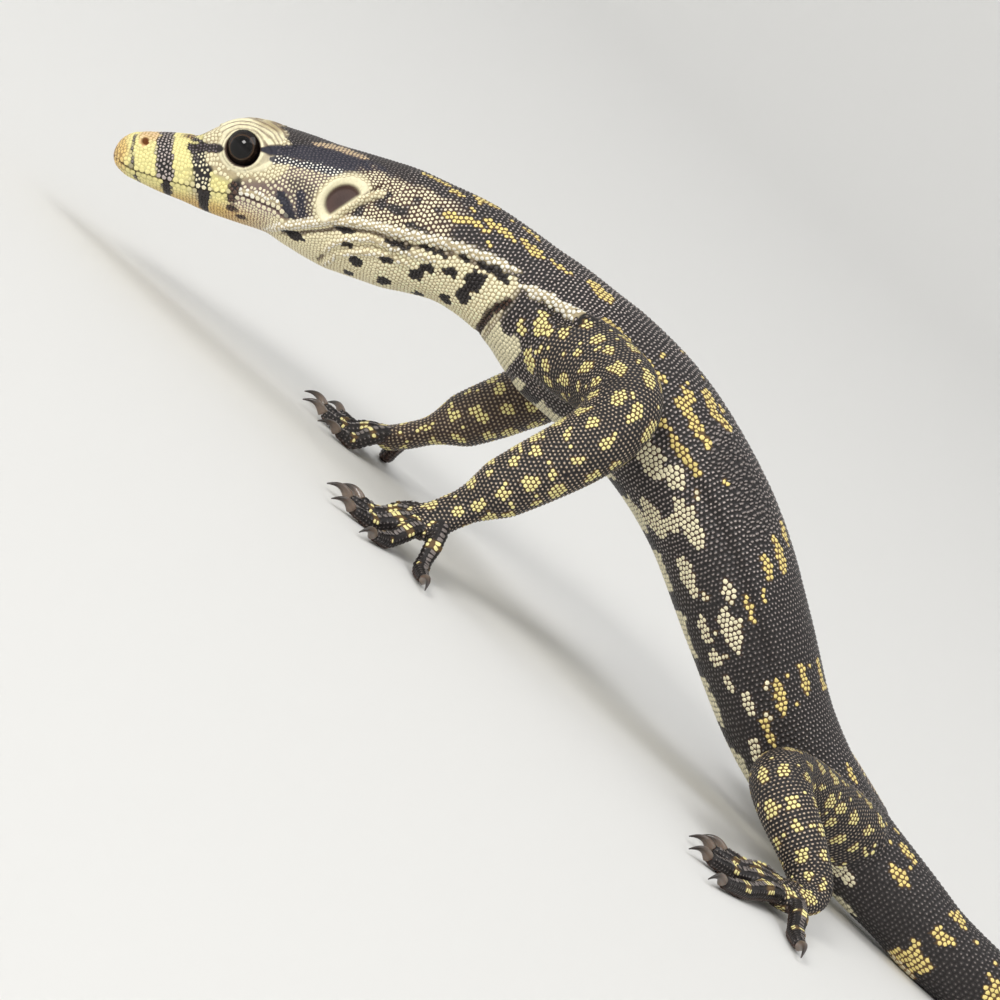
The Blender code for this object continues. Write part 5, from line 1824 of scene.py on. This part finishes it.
def make_camera():
    """A long lens square to the animal's side, which takes in the view's width at its distance."""
    ahead, right, up = view_axes()
    target = to_metres([VIEW_CENTRE])[0]
    lens = bpy.data.cameras.new("camera")
    lens.sensor_width = SENSOR
    lens.lens = SENSOR * VIEW_DISTANCE / VIEW_WIDTH
    lens.clip_start = 0.01
    camera = bpy.data.objects.new("camera", lens)
    camera.matrix_world = looking(target - ahead * VIEW_DISTANCE * MM, ahead, right, up)
    bpy.context.scene.collection.objects.link(camera)
    bpy.context.scene.camera = camera
    bpy.context.scene.view_settings.view_transform = "Standard"


# The floor and the wall round it, in metres.
FLOOR_R = 1.4            # where the floor starts to curve up
FLOOR_CURVE = 0.8        # radius of that curve
WALL_TOP = 3.0
FLOOR_SINK = 0.0001      # keeps the floor just under the feet


def make_stage():
    """A pale floor that curves up in a quarter circle into a wall all round, far out of view."""
    turn = np.radians(np.arange(0, 91, 5.0))
    radius = np.r_[0.5, FLOOR_R + FLOOR_CURVE * np.sin(turn), FLOOR_R + FLOOR_CURVE]
    height = np.r_[0.0, FLOOR_CURVE - FLOOR_CURVE * np.cos(turn), WALL_TOP]
    turns = np.radians(np.arange(0, 360, 5.0))
    rings = np.stack([
        radius[:, None] * np.cos(turns), radius[:, None] * np.sin(turns), np.tile(height[:, None], len(turns))
    ], axis=2)
    points = np.vstack([rings.reshape(-1, 3), [(0.0, 0.0, 0.0)]])
    faces = grid_faces(len(rings), len(turns)).tolist()
    faces += [[k, (k + 1) % len(turns), len(points) - 1] for k in range(len(turns))]
    surface, _, _, shader = new_material("pale_floor", 0.85)
    shader.inputs["Base Color"].default_value = (0.78, 0.775, 0.76, 1.0)
    floor = add_mesh("floor", points - (0, 0, FLOOR_SINK), faces, surface)
    floor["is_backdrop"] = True


def add_light(name, direction, distance, size, watts, colour):
    """A square soft box that looks at the animal from a direction."""
    target = to_metres([VIEW_CENTRE])[0]
    direction = np.asarray(direction, float)
    direction /= np.linalg.norm(direction)
    lamp = bpy.data.lights.new(name, "AREA")
    lamp.size = size
    lamp.energy = watts
    lamp.color = colour
    made = bpy.data.objects.new(name, lamp)
    right = np.cross(-direction, (0.0, 0.0, 1.0))
    right /= np.linalg.norm(right)
    made.matrix_world = looking(target + direction * distance, -direction, right, np.cross(right, -direction))
    bpy.context.scene.collection.objects.link(made)


SKY_COLOUR = (0.95, 0.97, 1.0, 1.0)
SKY_STRENGTH = 0.72


def make_light():
    """An even pale sky, a small key light up and to the front of the view, and a broad light overhead."""
    ahead, right, up = view_axes()
    world = bpy.data.worlds.new("soft grey")
    world.use_nodes = True
    world.node_tree.nodes["Background"].inputs["Color"].default_value = SKY_COLOUR
    world.node_tree.nodes["Background"].inputs["Strength"].default_value = SKY_STRENGTH
    bpy.context.scene.world = world
    front = up * 0.7 - right * 0.1 - ahead * 1.0
    add_light("key", front, distance=1.6, size=0.48, watts=12.0, colour=(1.0, 0.985, 0.95))
    overhead = (0.1, -0.2, 1.0)
    add_light("top", overhead, distance=3.4, size=2.0, watts=26.0, colour=(1.0, 0.99, 0.97))


def main():
    """Builds it all, and works out the corners of the solids' box and of the visual model's."""
    make_camera()
    make_stage()
    make_light()
    make_skin_and_scales()
    glossy = eye_material()
    for side, name in ((-1, "eye_left"), (1, "eye_right")):
        make_eye(side, name, glossy)
    horn = claw_material()
    for limb in LIMBS:
        make_claws(limb, horn)
    corners = [[list(corner) for corner in box] for box in (CAD_BOX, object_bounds())]


main()
